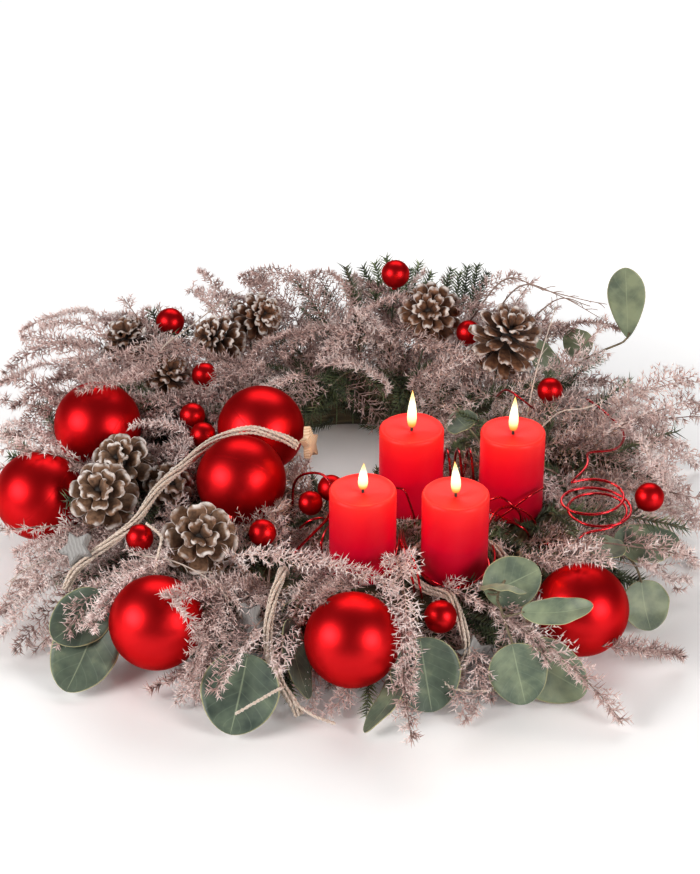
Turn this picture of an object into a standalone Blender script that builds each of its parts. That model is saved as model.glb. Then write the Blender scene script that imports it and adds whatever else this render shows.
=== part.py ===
"""Advent bauble wreath for Blender 4.5, in metres with +Z up.

A bound straw ring, wide at the front, carries four red candles, red baubles, pine cones, twigs of eucalyptus,
sprays of fir and preserved asparagus fern, jute twine with wooden stars, and loops of red wire.
Every shape is drawn in millimetres and scaled to metres when it becomes an object. The ring's flat underside
lies on z = 0, the candles stand on the ring's front half towards -Y, and the hole lies towards the back.
"""

import math
import random

import bmesh
import bpy
from mathutils import Matrix, Vector
from mathutils.bvhtree import BVHTree

MM = 0.001
GAP = 0.3
ROOM = 0.55
FLOOR_ROOM = 1.2

RING_CENTRE = Vector((0, 46, 0))
RING_RADIUS = 230
RING_HEIGHT = 54
RING_ROUNDING = 16
HOLE_CENTRE = Vector((3, 126, 0))
HOLE_RADIUS = 104
OPEN_CENTRE = Vector((7, 131, 0))
OPEN_SIDE = 112

CANDLE_RADIUS = 29
CANDLE_HEIGHT = 80
CANDLE_FOOT = 57
SPIKE_RADIUS = 1.6
SPIKE_REACH = 20
DISH_RADIUS = 25

BAUBLE_RADIUS = 40
CAP_RADIUS = 7
PICK_RADIUS = 1.0
STALK_RADIUS = 0.9

WIRE_RADIUS = 1.0
TWINE_RADIUS = 4.2

RED_GLASS = (0.56, 0.0, 0.012)
RED_WAX = (0.75, 0.012, 0.02)
RED_ENAMEL = (0.5, 0.0, 0.01)
STEEL = (0.55, 0.55, 0.56)
STRAW = (0.1, 0.085, 0.04)
CONE_BROWN = (0.2, 0.1, 0.05)
LEAF_GREEN = (0.13, 0.2, 0.13)
FIR_GREEN = (0.035, 0.08, 0.03)
FERN_PINK = (0.5, 0.36, 0.34)
JUTE = (0.6, 0.47, 0.33)
LIGHT_WOOD = (0.7, 0.48, 0.3)
GREY_WOOD = (0.3, 0.29, 0.29)

TAKEN = []


def clear_scene():
    for obj in list(bpy.data.objects):
        bpy.data.objects.remove(obj, do_unlink=True)


def new_collection(name):
    collection = bpy.data.collections.new(name)
    bpy.context.scene.collection.children.link(collection)
    return collection


def new_material(name, colour, roughness, metallic=0.0):
    material = bpy.data.materials.new(name)
    material.use_nodes = True
    shader = material.node_tree.nodes["Principled BSDF"]
    shader.inputs["Base Color"].default_value = (*colour, 1)
    shader.inputs["Roughness"].default_value = roughness
    shader.inputs["Metallic"].default_value = metallic
    return material


def scratch(data):
    """Links a helper object for modifiers to work on, in millimetres."""
    obj = bpy.data.objects.new("scratch", data)
    bpy.context.scene.collection.objects.link(obj)
    return obj


def realised(obj, weld=0.001):
    """The object as one mesh with its loose caps welded and its faces out, and the object removed."""
    graph = bpy.context.evaluated_depsgraph_get()
    mesh = bpy.data.meshes.new_from_object(obj.evaluated_get(graph))
    mesh.transform(obj.matrix_world)
    bpy.data.objects.remove(obj, do_unlink=True)
    shape = bmesh.new()
    shape.from_mesh(mesh)
    if weld:
        bmesh.ops.remove_doubles(shape, verts=shape.verts, dist=weld)
    bmesh.ops.recalc_face_normals(shape, faces=shape.faces)
    shape.to_mesh(mesh)
    shape.free()
    return mesh


def from_bmesh(shape):
    mesh = bpy.data.meshes.new("shape")
    shape.to_mesh(mesh)
    shape.free()
    return mesh


def solver_result(first, others, operation, solver):
    """One Boolean of a mesh with a collection of others."""
    body = scratch(first)
    helpers = bpy.data.collections.new("helpers")
    bpy.context.scene.collection.children.link(helpers)
    for mesh in others:
        helpers.objects.link(bpy.data.objects.new("helper", mesh))
    modifier = body.modifiers.new("join", "BOOLEAN")
    modifier.operation = operation
    modifier.operand_type = "COLLECTION"
    modifier.collection = helpers
    modifier.solver = solver
    bpy.context.view_layer.update()
    mesh = realised(body, weld=0)
    for helper in list(helpers.objects):
        bpy.data.objects.remove(helper, do_unlink=True)
    bpy.data.collections.remove(helpers)
    return mesh


def cut(mesh, cutters):
    return solver_result(mesh, cutters, "DIFFERENCE", "EXACT")


def fused(meshes):
    """The meshes joined in one closed body, without any scrap or sealed hollow."""
    if len(meshes) == 1:
        return largest_body(meshes[0])
    return largest_body(solver_result(meshes[0], meshes[1:], "UNION", "MANIFOLD"))


def largest_body(mesh):
    """Keeps the body with the most faces, where faces belong together when they share an edge."""
    for weld in (0.003, 0.001, 0):
        shape = bmesh.new()
        shape.from_mesh(mesh)
        if weld:
            bmesh.ops.remove_doubles(shape, verts=shape.verts, dist=weld)
        bmesh.ops.triangulate(shape, faces=shape.faces)
        if all(len(edge.link_faces) == 2 for edge in shape.edges):
            break
        if weld:
            shape.free()
    left = set(shape.faces)
    bodies = []
    while left:
        start = left.pop()
        body, fringe = [start], [start]
        while fringe:
            face = fringe.pop()
            for edge in face.edges:
                for other in edge.link_faces:
                    if other in left:
                        left.discard(other)
                        body.append(other)
                        fringe.append(other)
        bodies.append(body)
    bodies.sort(key=len)
    scraps = [face for body in bodies[:-1] for face in body]
    bmesh.ops.delete(shape, geom=scraps, context="FACES")
    shape.to_mesh(mesh)
    shape.free()
    return mesh


def bounds_of(points):
    low = Vector([min(point[i] for point in points) for i in range(3)])
    high = Vector([max(point[i] for point in points) for i in range(3)])
    return low, high


def take_room(mesh, taken):
    """Notes where a finished shape lies, so that later ones keep clear of it."""
    points = [vertex.co.copy() for vertex in mesh.vertices]
    faces = [tuple(polygon.vertices) for polygon in mesh.polygons]
    taken.append((BVHTree.FromPolygons(points, faces), *bounds_of(points)))


def finish(name, mesh, material, collection, sharp=40):
    """Makes the named object in metres."""
    take_room(mesh, TAKEN)
    mesh.transform(Matrix.Scale(MM, 4))
    mesh.name = name
    mesh.materials.clear()
    mesh.materials.append(material)
    mesh.shade_smooth()
    mesh.set_sharp_from_angle(angle=math.radians(sharp))
    obj = bpy.data.objects.new(name, mesh)
    collection.objects.link(obj)
    return obj


def inside(tree, point):
    """Whether a point lies in a closed shape: a line from it then crosses the surface an odd number of times."""
    way = Vector((0.13, 0.21, 0.97)).normalized()
    start, hits = point.copy(), 0
    for _ in range(60):
        found = tree.ray_cast(start, way)[0]
        if found is None:
            break
        hits += 1
        start = found + way * 0.001
    return hits % 2 == 1


def room_at(point, taken):
    """The distance to the nearest finished shape, negative inside one, and the way out of it."""
    reach = 12
    best, way = reach, Vector((0, 0, 1))
    for tree, low, high in taken:
        if any(point[i] < low[i] - best or point[i] > high[i] + best for i in range(3)):
            continue
        near, normal, _, distance = tree.find_nearest(point)
        away = point - near
        if away.dot(normal) < 0 and inside(tree, point):
            distance, away = -distance, -away
        if distance < best:
            best = distance
            way = away.normalized() if away.length > 0.01 else normal
    return best, way


def meets(points, faces, taken):
    """Whether a small closed shape crosses a finished one."""
    low, high = bounds_of(points)
    own = None
    for tree, other_low, other_high in taken:
        if any(high[i] < other_low[i] or low[i] > other_high[i] for i in range(3)):
            continue
        own = own or BVHTree.FromPolygons(points, faces)
        if own.overlap(tree):
            return True
    return False


def crosses(mesh, taken):
    """Whether a piece crosses a finished one."""
    points = [vertex.co for vertex in mesh.vertices]
    return meets(points, [tuple(polygon.vertices) for polygon in mesh.polygons], taken)


def crosses_itself(mesh):
    """Whether two faces that share no corner cross."""
    faces = [tuple(polygon.vertices) for polygon in mesh.polygons]
    tree = BVHTree.FromPolygons([vertex.co for vertex in mesh.vertices], faces)
    return any(a < b and not set(faces[a]) & set(faces[b]) for a, b in tree.overlap(tree))


def smooth_route(corners, spacing):
    """Points about every spacing along a smooth curve through the corners."""
    ends = [corners[0] * 2 - corners[1], *corners, corners[-1] * 2 - corners[-2]]
    route = []
    for i in range(1, len(ends) - 2):
        a, b, c, d = ends[i - 1 : i + 3]
        steps = max(1, round((c - b).length / spacing))
        for k in range(steps):
            t = k / steps
            route.append(
                0.5 * (2 * b + (c - a) * t + (2 * a - 5 * b + 4 * c - d) * t**2 + (3 * b - a - 3 * c + d) * t**3)
            )
    route.append(corners[-1].copy())
    return route


def bent_clear(route, radius, taken, held_start=1, held_end=0, rounds=16):
    """Bends a route round what is already there, and keeps it off the floor."""
    route = [point.copy() for point in route]
    last = len(route) - held_end
    for _ in range(rounds):
        moved = False
        for i in range(len(route) - 1):
            for share in (0, 1 / 3, 2 / 3):
                spot = route[i].lerp(route[i + 1], share)
                room, way = room_at(spot, taken)
                short = radius + ROOM - room
                if short <= 0:
                    continue
                for end, part in ((i, 1 - share), (i + 1, share)):
                    if held_start <= end < last and part > 0:
                        route[end] += way * (short + 0.1) * part
                        moved = True
        for i in range(held_start, last):
            low = radius + FLOOR_ROOM - route[i].z
            if low > 0:
                route[i].z += low
        if not moved:
            break
        for i in range(max(1, held_start), min(last, len(route) - 1)):
            middle = (route[i - 1] + route[i + 1]) / 2
            route[i] = route[i].lerp(middle, 0.15)
    return route


def section(sides, lobes=0.0):
    """A flat closed outline that a tube is drawn along: a polygon, or a three-stranded rope's outline."""
    curve = bpy.data.curves.new("section", "CURVE")
    spline = curve.splines.new("POLY")
    spline.points.add(sides - 1)
    for i, point in enumerate(spline.points):
        angle = 2 * math.pi * i / sides + math.pi / 2
        reach = 1 + lobes * math.cos(3 * (angle - math.pi / 2))
        point.co = (reach * math.cos(angle), reach * math.sin(angle), 0, 1)
    spline.use_cyclic_u = True
    return scratch(curve)


def tube(route, radii, sides=6, lobes=0.0, twist=0.0, level=False):
    """A closed tube along the route, with a radius at each point. A level one keeps one corner of its outline up."""
    curve = bpy.data.curves.new("route", "CURVE")
    curve.dimensions = "3D"
    curve.twist_mode = "Z_UP" if level else "MINIMUM"
    curve.bevel_mode = "OBJECT"
    curve.bevel_object = section(sides, lobes)
    curve.use_fill_caps = True
    spline = curve.splines.new("POLY")
    spline.points.add(len(route) - 1)
    for i, point in enumerate(route):
        spline.points[i].co = (*point, 1)
        spline.points[i].radius = radii[i]
        spline.points[i].tilt = twist * i
    outline = curve.bevel_object
    mesh = realised(scratch(curve))
    bpy.data.objects.remove(outline, do_unlink=True)
    return mesh


def turned(profile, steps):
    """A profile of (radius, height) points, top to bottom, turned about Z."""
    shape = bmesh.new()
    points = [shape.verts.new((radius, 0, height)) for radius, height in profile]
    for start, end in zip(points, points[1:]):
        shape.edges.new((start, end))
    obj = scratch(from_bmesh(shape))
    screw = obj.modifiers.new("turn", "SCREW")
    screw.steps = steps
    screw.render_steps = steps
    screw.use_merge_vertices = True
    screw.merge_threshold = 0.0001
    return realised(obj)


def cylinder(radius, bottom, top, sides, middle):
    shape = bmesh.new()
    bmesh.ops.create_cone(
        shape, cap_ends=True, segments=sides, radius1=radius, radius2=radius, depth=top - bottom
    )
    bmesh.ops.translate(shape, verts=shape.verts, vec=(middle.x, middle.y, (top + bottom) / 2))
    return from_bmesh(shape)


def pointing(direction, centre):
    """Turns +Z to the direction and moves the origin to the centre."""
    return Matrix.Translation(centre) @ direction.to_track_quat("Z", "Y").to_matrix().to_4x4()


def ball(radius, around, rings, centre, pole):
    shape = bmesh.new()
    bmesh.ops.create_uvsphere(shape, u_segments=around, v_segments=rings, radius=radius)
    shape.transform(pointing(pole, centre))
    return from_bmesh(shape)


def on_ring(x, y):
    """A seat on the ring's flat top."""
    return Vector((x, y, RING_HEIGHT + GAP))


def beside_ring(degrees, height):
    """A seat against the outer side of the ring, which is the first finished shape."""
    angle = math.radians(degrees)
    outwards = Vector((math.cos(angle), math.sin(angle), 0))
    start = RING_CENTRE + outwards * (RING_RADIUS + 20) + Vector((0, 0, height))
    side = TAKEN[0][0].ray_cast(start, -outwards)[0]
    return side + outwards * GAP


def pick_route(start, seat, joins=False):
    """A wire's way from its piece to its seat, which it meets squarely, or to the stalk that it is twisted round."""
    if joins:
        return [start, start.lerp(seat, 0.4) + Vector((0, 0, 3)), seat + Vector((0.05, 0.08, 7))]
    if seat.z > RING_HEIGHT:
        knee = seat + Vector((0, 0, 9))
    else:
        knee = seat + (seat - RING_CENTRE - Vector((0, 0, seat.z))).normalized() * 8
    return [start, knee, seat]


def straw_ring(material, collection, spikes):
    """A roll of bound straw: a round disc with an eccentric hole, its edges rounded, and a hole for each spike."""
    disc = cylinder(RING_RADIUS, 0, RING_HEIGHT, 32, RING_CENTRE)
    hole = cylinder(HOLE_RADIUS, -10, RING_HEIGHT + 10, 20, HOLE_CENTRE)
    body = scratch(cut(disc, [hole]))
    rounding = body.modifiers.new("rounding", "BEVEL")
    rounding.width = RING_ROUNDING
    rounding.segments = 1
    rounding.limit_method = "ANGLE"
    rounding.angle_limit = math.radians(60)
    sockets = [
        cylinder(SPIKE_RADIUS + GAP, RING_HEIGHT - SPIKE_REACH - 1, RING_HEIGHT + 5, 6, spike) for spike in spikes
    ]
    return finish("straw_ring", cut(realised(body), sockets), material, collection, 50)


def candle_holder(name, place, material, collection):
    """A steel dish with a spike up into the candle and one down into the straw."""
    dish_top = CANDLE_FOOT - GAP
    dish_bottom = RING_HEIGHT + GAP
    profile = [
        (0, dish_top + SPIKE_REACH),
        (SPIKE_RADIUS, dish_top + SPIKE_REACH - 5),
        (SPIKE_RADIUS, dish_top),
        (DISH_RADIUS, dish_top),
        (DISH_RADIUS, dish_bottom),
        (SPIKE_RADIUS, dish_bottom),
        (SPIKE_RADIUS, dish_bottom - SPIKE_REACH + 5),
        (0, dish_bottom - SPIKE_REACH),
    ]
    mesh = turned(profile, 7)
    mesh.transform(Matrix.Translation(place))
    return finish(name, mesh, material, collection)


def candle(name, place, material, collection):
    """A pillar of wax with a softened rim, a shallow pool and its wick, and a socket for the holder's spike."""
    top = CANDLE_FOOT + CANDLE_HEIGHT
    profile = [
        (0, top + 7),
        (1.2, top + 7),
        (1.3, top - 3.4),
        (CANDLE_RADIUS - 4, top - 1.8),
        (CANDLE_RADIUS - 2, top),
        (CANDLE_RADIUS, top - 2.2),
        (CANDLE_RADIUS, CANDLE_FOOT + 1.2),
        (CANDLE_RADIUS - 1.2, CANDLE_FOOT),
        (0, CANDLE_FOOT),
    ]
    socket = cylinder(
        SPIKE_RADIUS + GAP, CANDLE_FOOT - 5, CANDLE_FOOT + SPIKE_REACH + GAP, 6, Vector((0, 0, 0))
    )
    mesh = cut(turned(profile, 15), [socket])
    mesh.transform(Matrix.Translation(place))
    return finish(name, mesh, material, collection)


def bauble(name, centre, seat, material, collection):
    """A glass ball with its metal cap, and the wire that fixes it to the ring."""
    wire = pick_route(centre.copy(), seat)
    pole = (wire[1] - centre).normalized()
    cap_middle = centre + pole * (BAUBLE_RADIUS + 1.5)
    cap = bmesh.new()
    bmesh.ops.create_cone(cap, cap_ends=True, segments=6, radius1=CAP_RADIUS, radius2=CAP_RADIUS - 1, depth=8)
    cap.transform(pointing(pole, cap_middle))
    wire[0] = cap_middle
    parts = [ball(BAUBLE_RADIUS, 12, 8, centre, pole), from_bmesh(cap), tube(wire, [PICK_RADIUS] * 3, 3)]
    return finish(name, fused(parts), material, collection)


def small_baubles(name, balls, seat, material, collection):
    """Small glass balls on wire stalks, twisted together above the seat when there are several."""
    parts = []
    for i, (centre, radius) in enumerate(balls):
        wire = pick_route(centre.copy(), seat, joins=i > 0)
        pole = (wire[1] - centre).normalized()
        parts.append(ball(radius, 8, 6, centre, pole))
        thick = STALK_RADIUS * (0.8 if i else 1 if len(balls) == 1 else 1.6)
        parts.append(tube(wire, [thick] * 3, 3))
    return finish(name, fused(parts), material, collection)


def cone_mesh(centre, axis, length, width, layers=4, scales=6):
    """An open pine cone: rings of scales, each ring turned by half a scale, narrowing to the tip."""
    around = scales * 2
    profile = bmesh.new()
    rows = []
    for layer in range(layers):
        middle = (layer + 0.3) / layers
        girth = math.sin(math.pi * (0.2 + 0.72 * middle)) ** 0.8 * width / 2
        height = length * (middle - 0.5)
        for reach, rise, spread in ((0.55, 0.0, 0.05), (1.0, 0.16, 0.42)):
            row = []
            for k in range(around):
                lobe = 1 if (k + layer) % 2 == 0 else 0
                out = girth * (reach if lobe else reach * (1 - spread))
                up = height + length * (rise + (0.05 if lobe and reach == 1.0 else 0)) * 0.9
                angle = 2 * math.pi * k / around
                row.append(profile.verts.new((out * math.cos(angle), out * math.sin(angle), up)))
            rows.append(row)
    foot = profile.verts.new((0, 0, rows[0][0].co.z - length * 0.04))
    tip = profile.verts.new((0, 0, rows[-1][0].co.z + length * 0.02))
    for k in range(around):
        following = (k + 1) % around
        profile.faces.new((foot, rows[0][following], rows[0][k]))
        profile.faces.new((tip, rows[-1][k], rows[-1][following]))
        for lower, upper in zip(rows, rows[1:]):
            profile.faces.new((lower[k], lower[following], upper[following], upper[k]))
    bmesh.ops.triangulate(profile, faces=profile.faces)
    bmesh.ops.recalc_face_normals(profile, faces=profile.faces)
    profile.transform(pointing(axis.normalized(), centre))
    return from_bmesh(profile)


def cones(name, heads, seat, material, collection):
    """Pine cones on a twisted wire pick."""
    parts = []
    for i, (centre, axis, length, width) in enumerate(heads):
        parts.append(cone_mesh(centre, axis, length, width))
        start = centre - axis.normalized() * length * 0.25
        thick = PICK_RADIUS * (0.8 if i else 1 if len(heads) == 1 else 1.6)
        parts.append(tube(pick_route(start, seat, joins=i > 0), [thick] * 3, 3))
    return finish(name, fused(parts), material, collection, 25)


def leaf_mesh(base, tip, face, width, cup=0.12, fold=0.0, shape=0.75):
    """A leaf blade 0.9 mm thick: round to oval, cupped or folded along its rib, with a gently waved edge."""
    axis = tip - base
    length = axis.length
    axis.normalize()
    across = axis.cross(face).normalized()
    up = across.cross(axis).normalized()
    blade = bmesh.new()
    stations = (0.12, 0.45, 0.82)
    rib = [blade.verts.new(base)]
    left, right = [], []
    for i, t in enumerate(stations):
        half = width / 2 * math.sin(math.pi * t**0.85) ** shape
        bow = up * (cup * length * math.sin(math.pi * t))
        wave = 1.2 if i % 2 else -1.2
        lift = half * fold + wave
        middle = base + axis * length * t - bow
        rib.append(blade.verts.new(middle))
        spread = math.sqrt(max(0.1, 1 - fold**2))
        left.append(blade.verts.new(middle - across * half * spread + up * lift))
        right.append(blade.verts.new(middle + across * half * spread + up * lift))
    rib.append(blade.verts.new(tip))
    for side, order in ((left, 1), (right, -1)):
        corners = [(rib[0], rib[1], side[0])]
        for i in range(len(stations) - 1):
            corners.append((rib[i + 1], rib[i + 2], side[i]))
            corners.append((rib[i + 2], side[i + 1], side[i]))
        corners.append((rib[-2], rib[-1], side[-1]))
        for corner in corners:
            blade.faces.new(corner[::order])
    obj = scratch(from_bmesh(blade))
    solid = obj.modifiers.new("thickness", "SOLIDIFY")
    solid.thickness = 0.9
    solid.offset = 0
    return realised(obj)


def eucalyptus(name, seat, stem, leaves, material, collection, side_stem=()):
    """A leafy twig: a woody stem from its seat, and each leaf with its short stalk sunk into the stem."""
    route = bent_clear(smooth_route([seat, seat + Vector((0, 0, 9)), *stem], 18), 1.4, TAKEN, 2)
    radii = [1.7 - 0.7 * i / (len(route) - 1) for i in range(len(route))]
    parts = [tube(route, radii, 4)]
    wood = list(route[2:])
    if side_stem:
        branch = bent_clear(smooth_route(side_stem, 18), 1.2, TAKEN, 1)
        parts.append(tube(branch, [1.2] * len(branch), 4))
        wood += branch
    for base, tip, face, width, cup, fold in leaves:
        near = min(wood, key=lambda point: (point - base).length)
        stalk = [near, base + (tip - base) * 0.12]
        parts.append(leaf_mesh(base, tip, face, width, cup, fold))
        parts.append(tube(stalk, [1.0, 0.9], 3))
    return finish(name, fused(parts), material, collection, 30)


def spike_meets(corners, apex, taken):
    """Tries one needle, made a little larger, against what is already there."""
    if apex.z < FLOOR_ROOM:
        return True
    middle = sum(corners, Vector()) / len(corners)
    larger = [corner + (corner - middle).normalized() * 0.35 for corner in corners]
    points = [*larger, apex + (apex - middle).normalized() * 0.8]
    count = len(corners)
    faces = [(i, (i + 1) % count, count) for i in range(count)]
    return meets(points, faces, taken)


def upper_needle(corners, apex):
    """The outer three quarters of a needle, as a closed shape."""
    points = [corner.lerp(apex, 0.25) for corner in corners] + [apex]
    count = len(corners)
    faces = [(i, (i + 1) % count, count) for i in range(count)]
    return points, faces


def needled(mesh, route, reach, lean, first, taken, rng):
    """Draws each side face of a stem out to a point, as a needle or a leaflet, leaning towards the stem's tip."""
    shape = bmesh.new()
    shape.from_mesh(mesh)
    shape.normal_update()
    shape.faces.ensure_lookup_table()
    sides = [face for face in shape.faces if len(face.verts) == 4]
    made = []
    for face in sides:
        middle = face.calc_center_median()
        order = min(range(len(route) - 1), key=lambda i: ((route[i] + route[i + 1]) / 2 - middle).length)
        if order < first:
            continue
        along = (route[order + 1] - route[order]).normalized()
        length = reach(order / (len(route) - 2), face.normal, rng)
        way = (face.normal * math.cos(lean) + along * math.sin(lean)).normalized()
        corners = [vertex.co.copy() for vertex in face.verts]
        for share in (1, 0.62, 0.35):
            apex = middle + way * length * share
            outer = upper_needle(corners, apex)
            if not spike_meets(corners, apex, taken) and not meets(*outer, made):
                raised = bmesh.ops.poke(shape, faces=[face])
                raised["verts"][0].co = apex
                made.append((BVHTree.FromPolygons(*outer), *bounds_of(outer[0])))
                break
    bmesh.ops.triangulate(shape, faces=shape.faces)
    shape.to_mesh(mesh)
    shape.free()
    return mesh


def stem_route(root, heading, rise, length, droop, sweep, steps):
    """A stem that leaves its root at an angle, curves to one side, and nods over."""
    route = [root.copy()]
    for i in range(1, steps + 1):
        share = i / steps
        turn = heading + sweep * share
        pitch = rise - droop * share
        step = Vector((math.cos(turn) * math.cos(pitch), math.sin(turn) * math.cos(pitch), math.sin(pitch)))
        route.append(route[-1] + step * length / steps)
    return route


def cut_back(route, radii, taken):
    """Ends a stem before the first place where it would still cross something."""
    for i in range(len(route) - 1):
        thick = radii[i] + 0.35
        side = (route[i + 1] - route[i]).orthogonal().normalized() * thick
        other = (route[i + 1] - route[i]).cross(side).normalized() * thick
        ring = [side, other, -side, -other]
        points = [route[i] + step for step in ring] + [route[i + 1] + step for step in ring]
        faces = [(k, (k + 1) % 4, (k + 1) % 4 + 4, k + 4) for k in range(4)]
        if meets(points, faces, taken):
            return route[: i + 1]
    return route


def fern_reach(share, normal, rng):
    """Side leaflets are long near the foot of a frond and short at its tip, and those below it are shorter."""
    longest = 36 * (1 - 0.68 * share) * rng.uniform(0.85, 1.1)
    return longest * (0.45 if normal.z < -0.6 else 1)


def fir_reach(share, normal, rng):
    """Fir needles keep their length nearly to the tip."""
    return 19 * (1 - 0.35 * share) * rng.uniform(0.85, 1.1)


def bound_stem(spine, thick):
    """The thick stem of a bunch, tied along the ring where there is room for it."""
    for inwards in (0, 5, -5, 9, -9, 13):
        moved = [point + (RING_CENTRE - point).normalized() * inwards for point in spine]
        for point in moved:
            point.z = spine[0].z
        route = bent_clear(smooth_route(moved, 18), thick, TAKEN, 0)
        mesh = tube(route, [thick] * len(route), 5)
        if not crosses(mesh, TAKEN) and not crosses_itself(mesh):
            break
    return route, mesh


def shoot_mesh(route, radii, sides, reach, lean, taken, fixed, rng):
    """One shoot with its needles, ended sooner where it would still cross a piece or itself."""
    for count in range(len(route), 3, -1):
        mesh = tube(route[:count], radii[:count], sides, level=sides == 3)
        mesh = needled(mesh, route[:count], reach, lean, 1, taken, rng)
        if not crosses(mesh, fixed) and not crosses_itself(mesh):
            return mesh
    return None


def longest_shoot(root, shoot, spacing, radius, taken):
    """The route of a shoot, turned a little where its own way is blocked, so that it can grow out."""
    heading, rise, length, droop, sweep = shoot
    steps = round(length / spacing)
    radii = [radius * (1 - 0.5 * i / steps) for i in range(steps + 1)]
    best = []
    for turn, lift in ((0, 0), (14, 5), (-14, 5), (28, 0), (-28, 0), (8, 20), (-8, 20), (0, -16), (40, 8), (-40, 8)):
        way = [math.radians(value) for value in (heading + turn, rise + lift, droop, sweep)]
        route = stem_route(root, way[0], way[1], length, way[2], way[3], steps)
        route = cut_back(bent_clear(route, radius, taken, 1), radii, taken)
        if len(route) > len(best):
            best = route
        if len(best) == steps + 1:
            break
    return best, radii


def spray(name, bound, shoots, kind, seed, others, material, collection):
    """A bound bunch: its thick stem, with a shoot at each place in the list."""
    rng = random.Random(seed)
    sides, spacing, reach, lean, radius = kind
    route, stem = bound
    parts = [stem]
    fixed = [*TAKEN, *others]
    taken = list(fixed)
    for share, *shoot in shoots:
        root = route[round(share * (len(route) - 1))]
        stalk, radii = longest_shoot(root, shoot, spacing, radius, taken)
        mesh = shoot_mesh(stalk, radii, sides, reach, lean, taken, fixed, rng)
        if mesh is None:
            continue
        parts.append(mesh)
        outer = mesh.copy()
        away_from_root(outer, root, 16)
        if len(outer.polygons):
            take_room(outer, taken)
    return finish(name, fused(parts), material, collection, 20)


def away_from_root(mesh, root, reach):
    """Leaves only the faces farther than the reach from a root, where shoots part."""
    shape = bmesh.new()
    shape.from_mesh(mesh)
    near = [vertex for vertex in shape.verts if (vertex.co - root).length < reach]
    bmesh.ops.delete(shape, geom=near, context="VERTS")
    shape.to_mesh(mesh)
    shape.free()


def ring_arc(start, end, reach, height, step=12):
    """Points round the ring's centre, between two angles in degrees."""
    count = max(2, round(abs(end - start) / step))
    points = []
    for i in range(count + 1):
        angle = math.radians(start + (end - start) * i / count)
        points.append(RING_CENTRE + Vector((reach * math.cos(angle), reach * math.sin(angle), height)))
    return points


def leafy_arc(start, end, count, ways, seed):
    """Shoots along an arc of the ring, each in turn the next of the ways: (turn from outwards, rise, droop, length)."""
    rng = random.Random(seed)
    shoots = []
    for i in range(count):
        share = (i + 0.5) / count
        turn, rise, droop, length = ways[i % len(ways)]
        heading = start + (end - start) * share + turn + rng.uniform(-20, 20)
        rise += rng.uniform(-6, 6)
        shoots.append((share, heading, rise, length * rng.uniform(0.9, 1.05), droop, rng.uniform(-25, 25)))
    return shoots


def twine(name, corners, material, collection, extra=()):
    """A bundle of jute strands twisted together, and any loose ends that leave it."""
    parts = []
    for i, way in enumerate((corners, *extra)):
        radius = TWINE_RADIUS if i == 0 else 1.6
        route = bent_clear(smooth_route(way, 17), radius * 1.12, TAKEN, 1)
        lobes = 0.14 if i == 0 else 0.0
        parts.append(tube(route, [radius] * len(route), 6 if i == 0 else 4, lobes, 0.35 if i == 0 else 0))
    return finish(name, fused(parts), material, collection, 50)


def star(name, centre, face, towards, size, thickness, material, collection):
    """A five-pointed wooden star, cut across a small branch, tied against its twine."""
    curve = bpy.data.curves.new("outline", "CURVE")
    curve.dimensions = "2D"
    curve.fill_mode = "BOTH"
    curve.extrude = thickness / 2
    spline = curve.splines.new("POLY")
    spline.points.add(9)
    for i, point in enumerate(spline.points):
        reach = size / 2 * (1 if i % 2 == 0 else 0.5)
        angle = math.pi * i / 5
        point.co = (reach * math.cos(angle), reach * math.sin(angle), 0, 1)
    spline.use_cyclic_u = True
    mesh = realised(scratch(curve))
    mesh.transform(pointing(face.normalized(), centre))
    return finish(name, rested(mesh, towards, TAKEN), material, collection, 30)


def wire(name, corners, spacing, material, collection, held_start=1, held_end=1):
    """A length of enamelled wire, bent clear of what it passes."""
    route = bent_clear(smooth_route(corners, spacing), WIRE_RADIUS, TAKEN, held_start, held_end)
    return finish(name, tube(route, [WIRE_RADIUS] * len(route), 4), material, collection, 60)


def rested(mesh, way, taken):
    """Slides a piece along until it all but touches what is there."""
    step = way.normalized() * 0.25
    faces = [tuple(polygon.vertices) for polygon in mesh.polygons]
    for _ in range(80):
        points = [vertex.co + step * 1.6 for vertex in mesh.vertices]
        if meets(points, faces, taken):
            break
        mesh.transform(Matrix.Translation(step))
    return mesh


def v(x, y, z):
    return Vector((x, y, z))


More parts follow.
